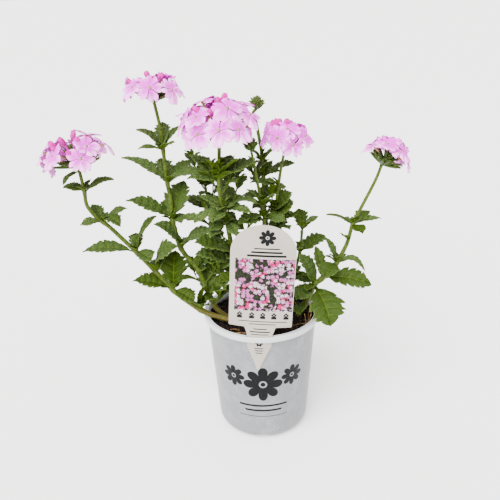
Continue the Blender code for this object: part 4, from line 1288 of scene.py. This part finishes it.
def add_green_head(form, head_name, head, draw):
    """The short axis, the calyces and the youngest buds of a head."""
    axes, top = head_frame(head)
    radii, heights = CUP_PROFILE.T
    line = top + axes @ UP * heights[:, None]
    form.add(closed_tube(rings(line, radii, 12)), CALYX_SLOT, tint=0.3)
    for azimuth, pitch in floret_directions(head_name):
        line, length = floret_line(floret_place(head, azimuth, pitch, 0.0))
        line = line[:6 if length < LONG_FLORET else 5]
        add_calyx(form, top + line @ axes.T, 1.35, 1.7, draw.random())
    for k in range(FAN_CALYCES):
        way = direction(360 * k / FAN_CALYCES + draw.uniform(-8, 8), draw.uniform(8, 24))
        reach = 0.74 * head.spread * draw.uniform(0.9, 1.1)
        line = curve_points((UP * 1.0 + way, UP * 2.0 + way * reach * 0.6, UP * 3.0 + way * reach), 6)
        add_calyx(form, top + line @ axes.T, 1.3, 1.7, draw.random())
    count, rise_share = GREEN_BUDS.get(head_name, (12, 0.55))
    for k in range(count):
        share = (k + 0.5) / count
        way = direction(k * GOLDEN_ANGLE + 40, 88 - 45 * share)
        foot = UP * 6.0 + way
        tip = UP * 7.5 + way * (head.lift + rise_share * head.rise - 7.5) * draw.uniform(0.8, 1.0)
        add_green_bud(form, top + axes @ foot, top + axes @ tip, 1.2, draw)


for seed, (stem_name, stem) in enumerate(STEMS.items()):
    draw = drawer(100 + seed)
    form = Form("under", "vein", "tint", "edge")
    line, radii = add_stem(form, stem)
    for leaf in [*stem.leaves, *SMALL_LEAVES.get(stem_name, ())]:
        base = along(stem.route, leaf.at)[0]
        add_leaf(form, base, leaf, leaf_tint(leaf, base, draw), draw)
        for young in young_leaves(leaf, base, draw):
            add_leaf(form, base, young, leaf_tint(young, base, draw), draw)
    for at, azimuth, pitch, length in SHOOTS.get(stem_name, ()):
        add_shoot(form, along(stem.route, at)[0], azimuth, pitch, length, draw)
    above_soil = line[:, 2] > SOIL_LEVEL + 2
    add_hairs(form, line[above_soil], radii[above_soil], STEM_HAIRS, draw)
    for head_name, head in HEADS.items():
        if head.stem == stem_name:
            add_green_head(form, head_name, head, draw)
    if stem_name in BUD_CLUSTERS:
        add_bud_cluster(form, line[-1], *BUD_CLUSTERS[stem_name], draw)
    dress(form.build(stem_name + "_foliage", FOLIAGE), stem_name)

# %% [markdown]
# ## Florets
#
# A floret has five petals spread flat from a narrow throat. Each widens to two round lobes with a notch
# between, and is gently ruffled. The petals are thin shells on a small grid: across, the points give
# the lobes and the notch; along, they give the droop. The tube below is beige, the eye yellow-green.

# %% Petals
PETALS = 5
WIDER = 1.12
LOBE_REACH = 0.98
NOTCH_REACH = 0.72
THROAT = 0.12
PETAL_ROWS = np.array((0, 0.14, 0.32, 0.52, 0.72, 0.88, 1.0))
PETAL_COLUMNS = np.array((-1, -0.8, -0.52, -0.24, 0, 0.24, 0.52, 0.8, 1))


def flat_petal(radius, draw):
    """A petal's points as (out from the eye, across, height)."""
    v, u = PETAL_ROWS[:, None], PETAL_COLUMNS[None, :]
    notch = (LOBE_REACH - NOTCH_REACH) * np.exp(-(u / 0.18) ** 2)
    reach = LOBE_REACH - notch - 0.34 * np.abs(u) ** 3 + 0.03 * draw.standard_normal()
    out = radius * (THROAT + (reach - THROAT) * v)
    across = u * radius * (0.06 + 0.345 * np.sin(np.pi / 2 * v ** 1.05)) * draw.uniform(0.92, 1.06)
    ruffle = 0.06 * np.sin(4.2 * u + draw.uniform(0, math.tau)) * v ** 1.5
    cup = (0.12 * draw.uniform(-0.6, 1.2)) * u ** 2 * v
    droop = -0.18 * draw.uniform(0.2, 1.6) * v ** 2
    crease = -0.05 * np.exp(-(u / 0.16) ** 2) * np.sin(np.pi * v)
    return out, across + 0 * out, radius * (ruffle + cup + droop + crease)


print(PETALS * len(PETAL_ROWS) * len(PETAL_COLUMNS), "points on the upper side of a floret")

# %% [markdown]
# Five petals stand round the eye, each a fifth of a turn on and the lowest a little longer. They
# overlap, so every second one is raised by a hair. The tube narrows downwards, and a small raised lip
# round its mouth makes the eye.

# %% Floret and throat
PETAL_THICKNESS = 0.22
HALF_OPEN_TILT = math.radians(62)
PETAL_SLOT, TUBE_SLOT = range(2)


def add_floret(form, axes, top, place, radius, open_share, blush, turn, draw):
    """One floret: petals, eye and tube. A floret that is only half open holds its petals up."""
    eye, out, foot = place
    down = unit(out * out[2] - UP)
    spin = Matrix.Rotation(turn, 3, Vector(out))
    down = np.array(spin @ Vector(down))
    across_axis = np.cross(out, down)
    raised = HALF_OPEN_TILT * (1 - open_share)
    for k in range(PETALS):
        angle = math.tau * k / PETALS + 0.06 * draw.standard_normal()
        ray = math.cos(angle) * down + math.sin(angle) * across_axis
        beside = -math.sin(angle) * down + math.cos(angle) * across_axis
        reach, across, height = flat_petal(radius * (1.06 if k == 0 else 1.0), draw)
        tilt = raised + 0.10 * draw.standard_normal()
        flat, rise = (reach * math.cos(tilt) - height * math.sin(tilt),
                      reach * math.sin(tilt) + height * math.cos(tilt) + 0.14 * (k % 2))
        points = (eye + flat[..., None] * ray + across[..., None] * beside + rise[..., None] * out)
        upper = top + points @ axes.T
        lower = top + (points - out * PETAL_THICKNESS) @ axes.T
        deep = np.clip(blush + 0.26 * (0.5 - 0.5 * math.cos(angle)) - 0.13, 0, 1)
        share = np.tile((reach / radius).reshape(-1), 2)
        side = np.tile((np.abs(PETAL_COLUMNS)[None, :] + 0 * reach).reshape(-1), 2)
        form.add(shell(upper, lower), PETAL_SLOT, share=share, side=side, blush=deep)
    add_throat(form, axes, top, place, radius, blush)


def add_throat(form, axes, top, place, radius, blush):
    eye, out, _ = place
    line = floret_line(place)[0][4:]
    reach = np.array((0.8, 0.75, 0.75, 0.8, 0.9, 1.0, 1.05, 1.2))
    tube = rings(line, reach, 10)
    lip = rings(np.array([eye - out * 0.35, eye + out * 0.12, eye + out * 0.16, eye - out * 0.5]),
                radius * np.array((0.11, 0.15, 0.085, 0.04)), 10)
    ring = top + np.concatenate([tube, lip]) @ axes.T
    share = np.concatenate([np.full(8, 1.0), (0.2, 0.17, 0.1, 0.0)])
    form.add(closed_tube(ring), TUBE_SLOT, share=np.repeat(share, 10), blush=blush)


# %% [markdown]
# The buds on top of a head are deep pink knobs: five petals still folded over one another. The folds
# are five lobes round the section that twist on the way up.

# %% Buds
BUD_PROFILE = np.array(((0.0, 0.30), (0.4, 0.30), (0.66, 0.36), (0.72, 0.62), (0.79, 0.93), (0.87, 1.0),
                        (0.94, 0.86), (0.985, 0.55), (0.97, 0.15)))


def add_bud(form, axes, top, foot, tip, thick, draw):
    share, radii = BUD_PROFILE.T
    line = foot + (tip - foot) * share[:, None]
    lean, bulge = draw.uniform(0, math.tau), 0.012 * thick * draw.standard_normal(3)
    found, crests = [], []
    for k, (ring, height) in enumerate(zip(rings(line, thick * radii, 20), share)):
        angles = math.tau * np.arange(20) / 20
        crest = np.abs(np.cos(2.5 * angles + 7 * height + lean)) ** 0.6
        folds = 0.55 * np.clip((height - 0.68) * 6, 0, 1) * (crest - 0.7)
        found.append(line[k] + (ring - line[k]) * (1 + folds)[:, None] + bulge * k ** 2)
        crests.append(crest)
    ring = top + np.array(found) @ axes.T
    form.add(closed_tube(ring), PETAL_SLOT, share=np.repeat(np.where(share > 0.67, 0.75, 0.2), 20),
             side=np.concatenate(crests), blush=np.repeat(np.where(share > 0.67, 1.0, 0.35), 20))


# %% [markdown]
# Petals are orchid pink that pales towards the lobes and the lower petals, and buds are deep pink. Fine
# darker lines run out from the eye. Light passes a little way into a petal, so the shader's subsurface
# share is raised.

# %% Petal finishes
PETAL_PALE = colour(244, 158, 234)
PETAL_PINK = colour(208, 44, 198)
PETAL_DEEP = colour(176, 0, 130)


def petal_recipe(wire):
    where = places(wire)
    share, side, blush = (mark(wire, name) for name in ("share", "side", "blush"))
    cloud = grain(where, 4.0, 2.0)
    flush = blush * 1.1 + 0.6 * step(share, 0.85, 0.15) - 0.3 * step(side, 0.4, 1.0) + 0.3 * (cloud - 0.5)
    base = mix(PETAL_PALE, PETAL_PINK, step(flush, 0.02, 0.75))
    base = mix(base, PETAL_DEEP, step(blush, 0.62, 1.0) * (1 - 0.3 * step(side, 0.55, 1.0)))
    base = mix(base, PETAL_PALE, step(share, 0.2, 0.13) * 0.5)
    lines = grain(where, 0.7, 2.0, 0.5)
    base = mix(base, PETAL_PINK, step(lines, 0.55, 0.8) * 0.12)
    return {
        "Base Color": base,
        "Roughness": 0.45 + 0.15 * cloud,
        "Normal": bump(lines, 0.05, 0.5),
    }


def throat_recipe(wire):
    where = places(wire)
    share, blush = mark(wire, "share"), mark(wire, "blush")
    stops = ((0.0, colour(60, 70, 14)), (0.06, colour(120, 108, 30)), (0.1, colour(150, 128, 66)),
             (0.15, colour(196, 120, 160)), (0.3, colour(160, 128, 84)))
    base = share.node("ShaderNodeValToRGB", {"stops": stops}, {"Fac": share}, "Color")
    base = mix(base, colour(176, 104, 120), step(blush, 0.4, 0.9) * step(share, 0.3, 0.6) * 0.6)
    return {"Base Color": base, "Roughness": 0.5 + 0.1 * grain(where, 2.0)}


PETAL_LIGHT = {"Subsurface_Weight": 0.12, "Subsurface_Radius": (0.0012, 0.0006, 0.0011)}
petal_finish = finish("verbena_petal", petal_recipe, Specular_IOR_Level=0.15, **PETAL_LIGHT)
throat_finish = finish("verbena_floret_tube", throat_recipe, Specular_IOR_Level=0.2)

# %% [markdown]
# ## Flower heads
#
# Each head piece is its florets and its buds. In a young head the upper florets are still half open and
# pinker than the lower ones, so how open and how pink a floret is goes by its height on the dome. One
# floret could be copied over the dome, but then every petal would droop alike.

# %% Building the heads
BUD_REACH = 1.2
EXTRA_BLUSH = {"head_right_middle": 0.16, "head_middle": 0.06}  # pinker heads than the others


def add_top_buds(form, head_name, axes, top, draw):
    for tip in BUDS[head_name]:
        tip = np.array(tip, float)
        foot = UP * CUP_HEIGHT + unit(tip - UP * CUP_HEIGHT)
        add_bud(form, axes, top, foot, tip + unit(tip - foot) * BUD_REACH, draw.uniform(2.0, 2.9), draw)


for seed, (head_name, head) in enumerate(HEADS.items()):
    draw = drawer(300 + seed)
    form = Form("share", "side", "blush")
    axes, top = head_frame(head)
    for k, (azimuth, pitch) in enumerate(floret_directions(head_name)):
        chosen = (azimuth, pitch) in head.chosen
        fresh = not chosen and pitch > 40
        sink = 0.0 if chosen else draw.uniform(0.5, 3.5)
        eye, out, foot = floret_place(head, azimuth, pitch, sink)
        place = eye, unit(out + 0.14 * draw.standard_normal(3)), foot
        turn = 0.35 * math.sin(2.4 * k + 1)
        radius = head.floret * WIDER * draw.uniform(0.93, 1.03) * (0.8 if fresh else 1.0)
        open_share = draw.uniform(0.35, 0.8) if fresh else draw.uniform(0.88, 1.0)
        blush = draw.uniform(0.1, 0.3) + (0.3 if fresh else 0.0) + EXTRA_BLUSH.get(head_name, 0.0)
        blush += 0.25 * max(0.0, math.sin(math.radians(pitch)))
        add_floret(form, axes, top, place, radius, open_share, blush, turn, draw)
    add_top_buds(form, head_name, axes, top, draw)
    dress(form.build(head_name + "_florets", [petal_finish, throat_finish]), head_name)

# %% [markdown]
# ## The soil
#
# Potting mix is dark, crumbly and full of short fibres. A turned block with a rough top gives the body;
# crumbs, fibres and a few dry stalks lie on it. The top is raised a little round each stem.

# %% Soil finish
SOIL_DARK = colour(11, 8, 7)
SOIL_BROWN = colour(32, 22, 16)


def soil_recipe(wire):
    where = places(wire)
    tone = mark(wire, "tone")
    crumb = grain(where, 2.2, 5.0, 0.7)
    base = mix(SOIL_DARK, SOIL_BROWN, step(crumb + 0.5 * tone, 0.45, 1.0))
    base = mix(base, colour(86, 62, 42), step(grain(where, 0.8, 3.0), 0.68, 0.76) * 0.5)
    return {"Base Color": base, "Roughness": 0.82 + 0.15 * crumb, "Normal": bump(crumb, 0.7)}


def straw_recipe(wire):
    where = places(wire)
    base = mix(colour(64, 44, 26), colour(122, 94, 58), step(grain(where, 3.0, 3.0), 0.35, 0.7))
    base = mix(base, colour(60, 44, 32), step(mark(wire, "tone"), 0.5, 1.0) * 0.6)
    return {
        "Base Color": base,
        "Roughness": 0.7 + 0.2 * grain(where, 1.0),
        "Normal": bump(grain(where, 0.6), 0.1),
    }


soil_finish = finish("potting_mix", soil_recipe, Specular_IOR_Level=0.1)
straw_finish = finish("dry_stalk", straw_recipe, Specular_IOR_Level=0.2)

# %% [markdown]
# The block fills the pot down to its floor, with a hair of room at the wall. Its top is a fan of rings
# whose heights come from one formula, which the crumbs use again to find the surface.

# %% Soil block
SOIL_GAP = 0.35
SOIL_RING_STEP = 1.1
SOIL_SEGMENTS = 220
MOUND_SPREAD = 30.0
STEM_FEET = [stem.route[1][:2] for stem in STEMS.values()]


def soil_top(x, y):
    """The height of the soil's surface: gentle swells, crumbs and a mound at each stem."""
    swell = math.sin(0.31 * x + 1.3) * math.cos(0.27 * y) + 0.5 * math.sin(0.7 * y + 0.4 * x)
    rough = noise.fractal(Vector((x / 5, y / 5, 0.7)), 0.9, 2.1, 4)
    mound = sum(math.exp(-((x - foot_x) ** 2 + (y - foot_y) ** 2) / MOUND_SPREAD)
                for foot_x, foot_y in STEM_FEET)
    return SOIL_LEVEL + 0.75 * swell + 1.1 * rough + 1.4 * mound


def soil_shape():
    edge = body_radius(SOIL_LEVEL) - WALL - SOIL_GAP
    low = [(r - SOIL_GAP, z + SOIL_GAP) for r, z in
           corner(FOOT_RADIUS - WALL, BODY_LOW_RADIUS - WALL, FLOOR_TOP, CORNER_HEIGHT, 4)]
    profile = [(0, FLOOR_TOP + SOIL_GAP), (FOOT_RADIUS - WALL - 1, FLOOR_TOP + SOIL_GAP), *low,
               (BODY_LOW_RADIUS - WALL - SOIL_GAP, CORNER_HEIGHT + SOIL_GAP), (edge, SOIL_LEVEL - 2)]
    flat_from = 1 + (len(profile) - 1) * SOIL_SEGMENTS
    profile += [(radius, SOIL_LEVEL) for radius in np.arange(edge, 1.0, -SOIL_RING_STEP)] + [(0, SOIL_LEVEL)]
    points, faces = turned(profile, SOIL_SEGMENTS)
    for point in points[flat_from:]:
        point[2] = soil_top(point[0], point[1])
    return np.array([notched(point, WALL + SOIL_GAP) for point in points]), faces


form = Form("tone")
form.add(soil_shape())
dress(form.build("potting_soil", [soil_finish]), "soil")

# %% [markdown]
# Crumbs are small round stones of noise: one ball of 42 points is stretched, turned and dented
# afresh for each of them. They sit a third deep in the surface.

# %% Crumbs, fibres and dry stalks
CRUMBS = 900
FIBRES = 90


def ball_shape():
    work = bmesh.new()
    bmesh.ops.create_icosphere(work, subdivisions=2, radius=1.0)
    points = np.array([v.co for v in work.verts])
    faces = np.array([[v.index for v in face.verts] + [-1] for face in work.faces])
    work.free()
    return points, faces


def soil_spot(draw, reach=50.5):
    radius, angle = reach * math.sqrt(draw.random()), draw.uniform(0, math.tau)
    x, y = radius * math.cos(angle), radius * math.sin(angle)
    return np.array((x, y, soil_top(x, y)))


def add_crumbs(form, draw):
    ball, faces = ball_shape()
    for _ in range(CRUMBS):
        size = 0.5 + 1.3 * draw.random() ** 2.5
        dents = 1 + 0.16 * draw.standard_normal(len(ball))
        stretch = draw.uniform(0.7, 1.35, 3)
        turn = np.array(Matrix.Rotation(draw.uniform(0, math.tau), 3, Vector(draw.standard_normal(3))))
        points = (ball * dents[:, None] * stretch * size) @ turn.T + soil_spot(draw) + UP * 0.3 * size
        form.add((points, faces), 0, tone=draw.random())


def add_fibres(form, draw):
    for _ in range(FIBRES):
        middle = soil_spot(draw, 47)
        way = direction(draw.uniform(0, 360), draw.uniform(-8, 14)) * draw.uniform(1.5, 5)
        sag = middle + UP * draw.uniform(-0.4, 0.8)
        line = curve_points((middle - way, sag, middle + way), 6)
        radii = draw.uniform(0.12, 0.34) * np.array((0.6, 1, 1, 1, 0.9, 0.5))
        form.add(closed_tube(rings(line, radii, 6)), 1, tone=draw.random())


DRY_STALKS = (((44, -22, 117), (47, -20, 126), (49, -17, 134), 0.7),
              ((42, -25, 117), (43, -24, 125), (41, -23, 133), 0.6),
              ((46, -17, 117), (45, -14, 125), (47, -10, 131), 0.5),
              ((39, -28, 117), (41, -29, 123), (45, -27, 129), 0.6),
              ((-26, -34, 118), (-18, -38, 122), (-8, -42, 121), 1.5),
              ((-20, -30, 117), (-24, -33, 124), (-30, -36, 124), 0.8),
              ((30, -20, 117), (37, -24, 124), (44, -30, 125), 0.6),
              ((20, 30, 117), (26, 36, 124), (33, 38, 125), 0.7))


def add_stalks(form, draw):
    for foot, middle, tip, thick in DRY_STALKS:
        line = curve_points((foot, middle, tip), 12)
        radii = thick * (1 + 0.12 * draw.standard_normal(12)) * np.linspace(1.1, 0.7, 12)
        form.add(closed_tube(rings(line, radii, 9)), 1, tone=draw.random() * 0.7)


draw = drawer(500)
form = Form("tone")
add_crumbs(form, draw)
add_fibres(form, draw)
add_stalks(form, draw)
dress(form.build("soil_crumbs", [soil_finish, straw_finish]), None)

# %% [markdown]
# ## The plant label
#
# The label is a white plastic sheet with an arched top. Its tail narrows, passes down through the slot
# in the rim and hugs the outside of the pot. The sheet is a shell on a grid whose rows follow that
# outline; it is bent round the pot where the tail lies and flattens above the rim.

# %% Label dimensions
LABEL_THICKNESS = 0.8
LABEL_WIDTH = 57.4
LABEL_SHOULDER = 10.5
LABEL_TOP = 110.0
LABEL_ARCH = 26.0
LABEL_NECK = 28.4
LABEL_TAIL = 22.6
LABEL_TAIL_STRAIGHT = -10.0
LABEL_POINT = -37.5
LABEL_TILT = math.radians(3.3)
LABEL_GAP = 0.35
LABEL_COLUMNS = 25


def label_outline():
    """(height above the rim, half width) from the tail's point up to the top of the arch."""
    tail, neck, wide = LABEL_TAIL / 2, LABEL_NECK / 2, LABEL_WIDTH / 2
    straight = LABEL_TOP - LABEL_ARCH
    rows = [(z, 0.9 + (tail - 0.9) * ((z - LABEL_POINT) / (LABEL_TAIL_STRAIGHT - LABEL_POINT)) ** 1.08)
            for z in np.linspace(LABEL_POINT, LABEL_TAIL_STRAIGHT, 12)]
    rows += [(z, tail) for z in (-8.0, -6.0, -4.0, -2.0, 0.0)]
    rows += [(3.0 + (LABEL_SHOULDER - 3.0) * t, tail + 0.6 + (neck - tail - 0.6) * t)
             for t in (0, 0.33, 0.66, 1)]
    rows += [(LABEL_SHOULDER + 0.05, wide - 1.0), (LABEL_SHOULDER + 0.3, wide - 0.3),
             (LABEL_SHOULDER + 1.0, wide)]
    rows += [(z, wide) for z in np.linspace(LABEL_SHOULDER + 2, straight, 12)]
    rows += [(straight + LABEL_ARCH * math.sin(a), wide * math.cos(a))
             for a in np.radians(np.linspace(4, 88, 22))]
    return rows


def label_point(across, up, depth):
    """A point of the label: it hugs the pot below the rim and flattens above it."""
    x = across * math.cos(LABEL_TILT) + up * math.sin(LABEL_TILT)
    z = POT_HEIGHT + up * math.cos(LABEL_TILT) - across * math.sin(LABEL_TILT)
    hug = body_radius(min(z, POT_HEIGHT - WALL)) + LABEL_THICKNESS / 2 + 1.3 * LABEL_GAP
    curl = 1 - 0.8 * min(max((up - 2) / 12, 0), 1)
    bend = math.asin(x / hug) * curl
    y = -hug + curl * (hug - math.sqrt(hug * hug - x * x))
    return x + depth * math.sin(bend), y - depth * math.cos(bend), z


print("label:", len(label_outline()), "rows of", LABEL_COLUMNS, "points a side")

# %% [markdown]
# The print is worked out in the shader from two marks, the distance across the label and up it. A dark
# field of pale and deep pink rosettes fills its middle, with a daisy, plain small shapes and thin rules
# above and below. Cutting these from the mesh would need far more points for the same sharp edges.

# %% Label finish
PICTURE = (2.0, 27.5, 78.5, 26.0)  # middle across, bottom, top, half width
PICTURE_EDGE = colour(150, 150, 140)
LABEL_RULES = (  # centre across, height, half length, half thickness
    (3, 88.3, 11, 0.45), (3, 84.9, 13.5, 0.8), (3, 81.6, 17, 0.9), (2, 16.6, 22, 0.3),
    (2, 13.8, 12, 0.3), (0, 8.6, 6, 0.4), (0, 5.6, 9, 0.5), (0, 2.8, 8, 0.3), (0, -12.6, 4, 0.4),
    (0, -15.2, 3.5, 0.4), (0, -17.8, 3, 0.4))
LABEL_SIGNS = (-19.0, -8.0, 2.0, 12.0, 23.0)  # centres across


def inside_box(across, up, middle, low, high, half, soft=0.25):
    wide = step(abs(across - middle), half + soft, half)
    return wide * step(up, low - soft, low) * step(up, high + soft, high)


def rosettes(where, size, petals, low, high):
    """Small flowers scattered over the print: (their shape, each one's own number, its eye)."""
    settings = {"feature": "F1", "voronoi_dimensions": "2D"}
    inputs = {"Vector": where, "Scale": 1 / size, "Randomness": 0.8}
    centre = where.node("ShaderNodeTexVoronoi", settings, inputs, "Position")
    tone = where.node("ShaderNodeTexVoronoi", settings, inputs, "Color")
    apart = where.node("ShaderNodeVectorMath", {"operation": "SUBTRACT"}, {0: where, 1: centre})
    x, y, _ = parts(apart)
    reach = (x * x + y * y) ** 0.5
    number = parts(tone)[0]
    angle = x.math("ARCTAN2", y, x) + 6.0 * number
    lobes = abs(x.math("COSINE", angle * (petals / 2)))
    outline = size * (low + high * lobes)
    return step(reach - outline, 0.12 * size, -0.05 * size), number, step(reach, 0.12 * size, 0.06 * size)


def label_recipe(wire):
    where = places(wire)
    across, up, front = (mark(wire, name) for name in ("across", "up", "front"))
    print_place = across.node("ShaderNodeCombineXYZ", {}, {"X": across, "Y": up})
    sheet = mix(colour(148, 141, 132), colour(158, 151, 142), grain(where, 20.0, 2.0))
    blotch = print_place.node("ShaderNodeTexNoise", {},
                              {"Vector": print_place, "Scale": 0.075, "Detail": 1.0})
    picture = mix(colour(8, 11, 5), colour(34, 40, 16), step(grain(where, 1.6, 3.0), 0.4, 0.7))
    shape, number, eye = rosettes(print_place, 3.6, 6, 0.26, 0.30)
    pinks = mix(colour(176, 152, 168), colour(150, 80, 132), step(number, 0.35, 0.7))
    pinks = mix(pinks, colour(160, 8, 88), step(blotch + 0.25 * (number - 0.5), 0.58, 0.64))
    pinks = mix(pinks, colour(150, 96, 24), eye)
    picture = mix(picture, pinks, shape * step(blotch + 0.22 * number, 0.52, 0.56))
    middle, low, high, half = PICTURE
    edge = inside_box(across, up, middle, low - 0.5, high + 0.5, half + 0.5)
    base = mix(sheet, PICTURE_EDGE, edge)
    base = mix(base, picture, inside_box(across, up, middle, low, high, half))
    ink = daisy(across - 3.0, up - 98.5, 7.5, 8) + daisy(across, up + 7.0, 3.6, 6)
    for centre, height, half_length, thick in LABEL_RULES:
        ink = ink + inside_box(across, up, centre, height - thick, height + thick, half_length)
    for spot in LABEL_SIGNS:
        ink = ink + inside_box(across, up, spot, 19.6, 22.0, 2.3) + daisy(across - spot, up - 23.6, 2.4, 4)
    ink = ink.math("MINIMUM", ink * front, 1.0)
    base = mix(sheet, mix(base, INK, ink), front)
    return {
        "Base Color": base,
        "Roughness": 0.38 + 0.1 * grain(where, 6.0),
        "Normal": bump(grain(where, 9.0, 2.0), 0.12, 0.4),
    }


label_finish = finish("label_sheet", label_recipe, Specular_IOR_Level=0.12)

# %% [markdown]
# The two sides of the sheet are the same grid, half its thickness to the front and to the back. The
# marks for the print are kept with the points, so the print follows the bend of the sheet.

# %% Label
LABEL_ROWS = label_outline()
label_shares = np.linspace(-1, 1, LABEL_COLUMNS)
spin = Matrix.Rotation(math.radians(LABEL_TURN), 3, "Z")
sheets = [np.array([[spin @ Vector(label_point(width * share, up, depth)) for share in label_shares]
                    for up, width in LABEL_ROWS]) for depth in (LABEL_THICKNESS / 2, -LABEL_THICKNESS / 2)]
across_marks = np.array([[width * share for share in label_shares] for _, width in LABEL_ROWS]).reshape(-1)
up_marks = np.array([[up] * LABEL_COLUMNS for up, _ in LABEL_ROWS]).reshape(-1)
form = Form("across", "up", "front")
front_marks = np.concatenate([np.ones(len(up_marks)), np.zeros(len(up_marks))])
form.add(shell(*sheets), across=np.tile(across_marks, 2), up=np.tile(up_marks, 2), front=front_marks)
label_sheet = form.build("label_sheet", [label_finish])
label_sheet.data.set_sharp_from_angle(angle=math.radians(40))
dress(label_sheet, "plant_label")

# %% [markdown]
# ## The floor
#
# The pot stands on a plain pale sheet. A curved backdrop would hide the horizon in one view only, so
# the sheet is flat and reaches far past every view.

# %% Floor
FLOOR_SIZE = 4000.0


def floor_recipe(wire):
    return {"Base Color": mix((0.86, 0.86, 0.86), (0.88, 0.88, 0.88), grain(places(wire), 60.0))}


bpy.ops.mesh.primitive_plane_add(size=FLOOR_SIZE, location=(0, 0, 0))
floor = bpy.context.object
floor.name = "studio_floor"
floor.data.materials.append(finish("studio_floor", floor_recipe, Roughness=0.9))
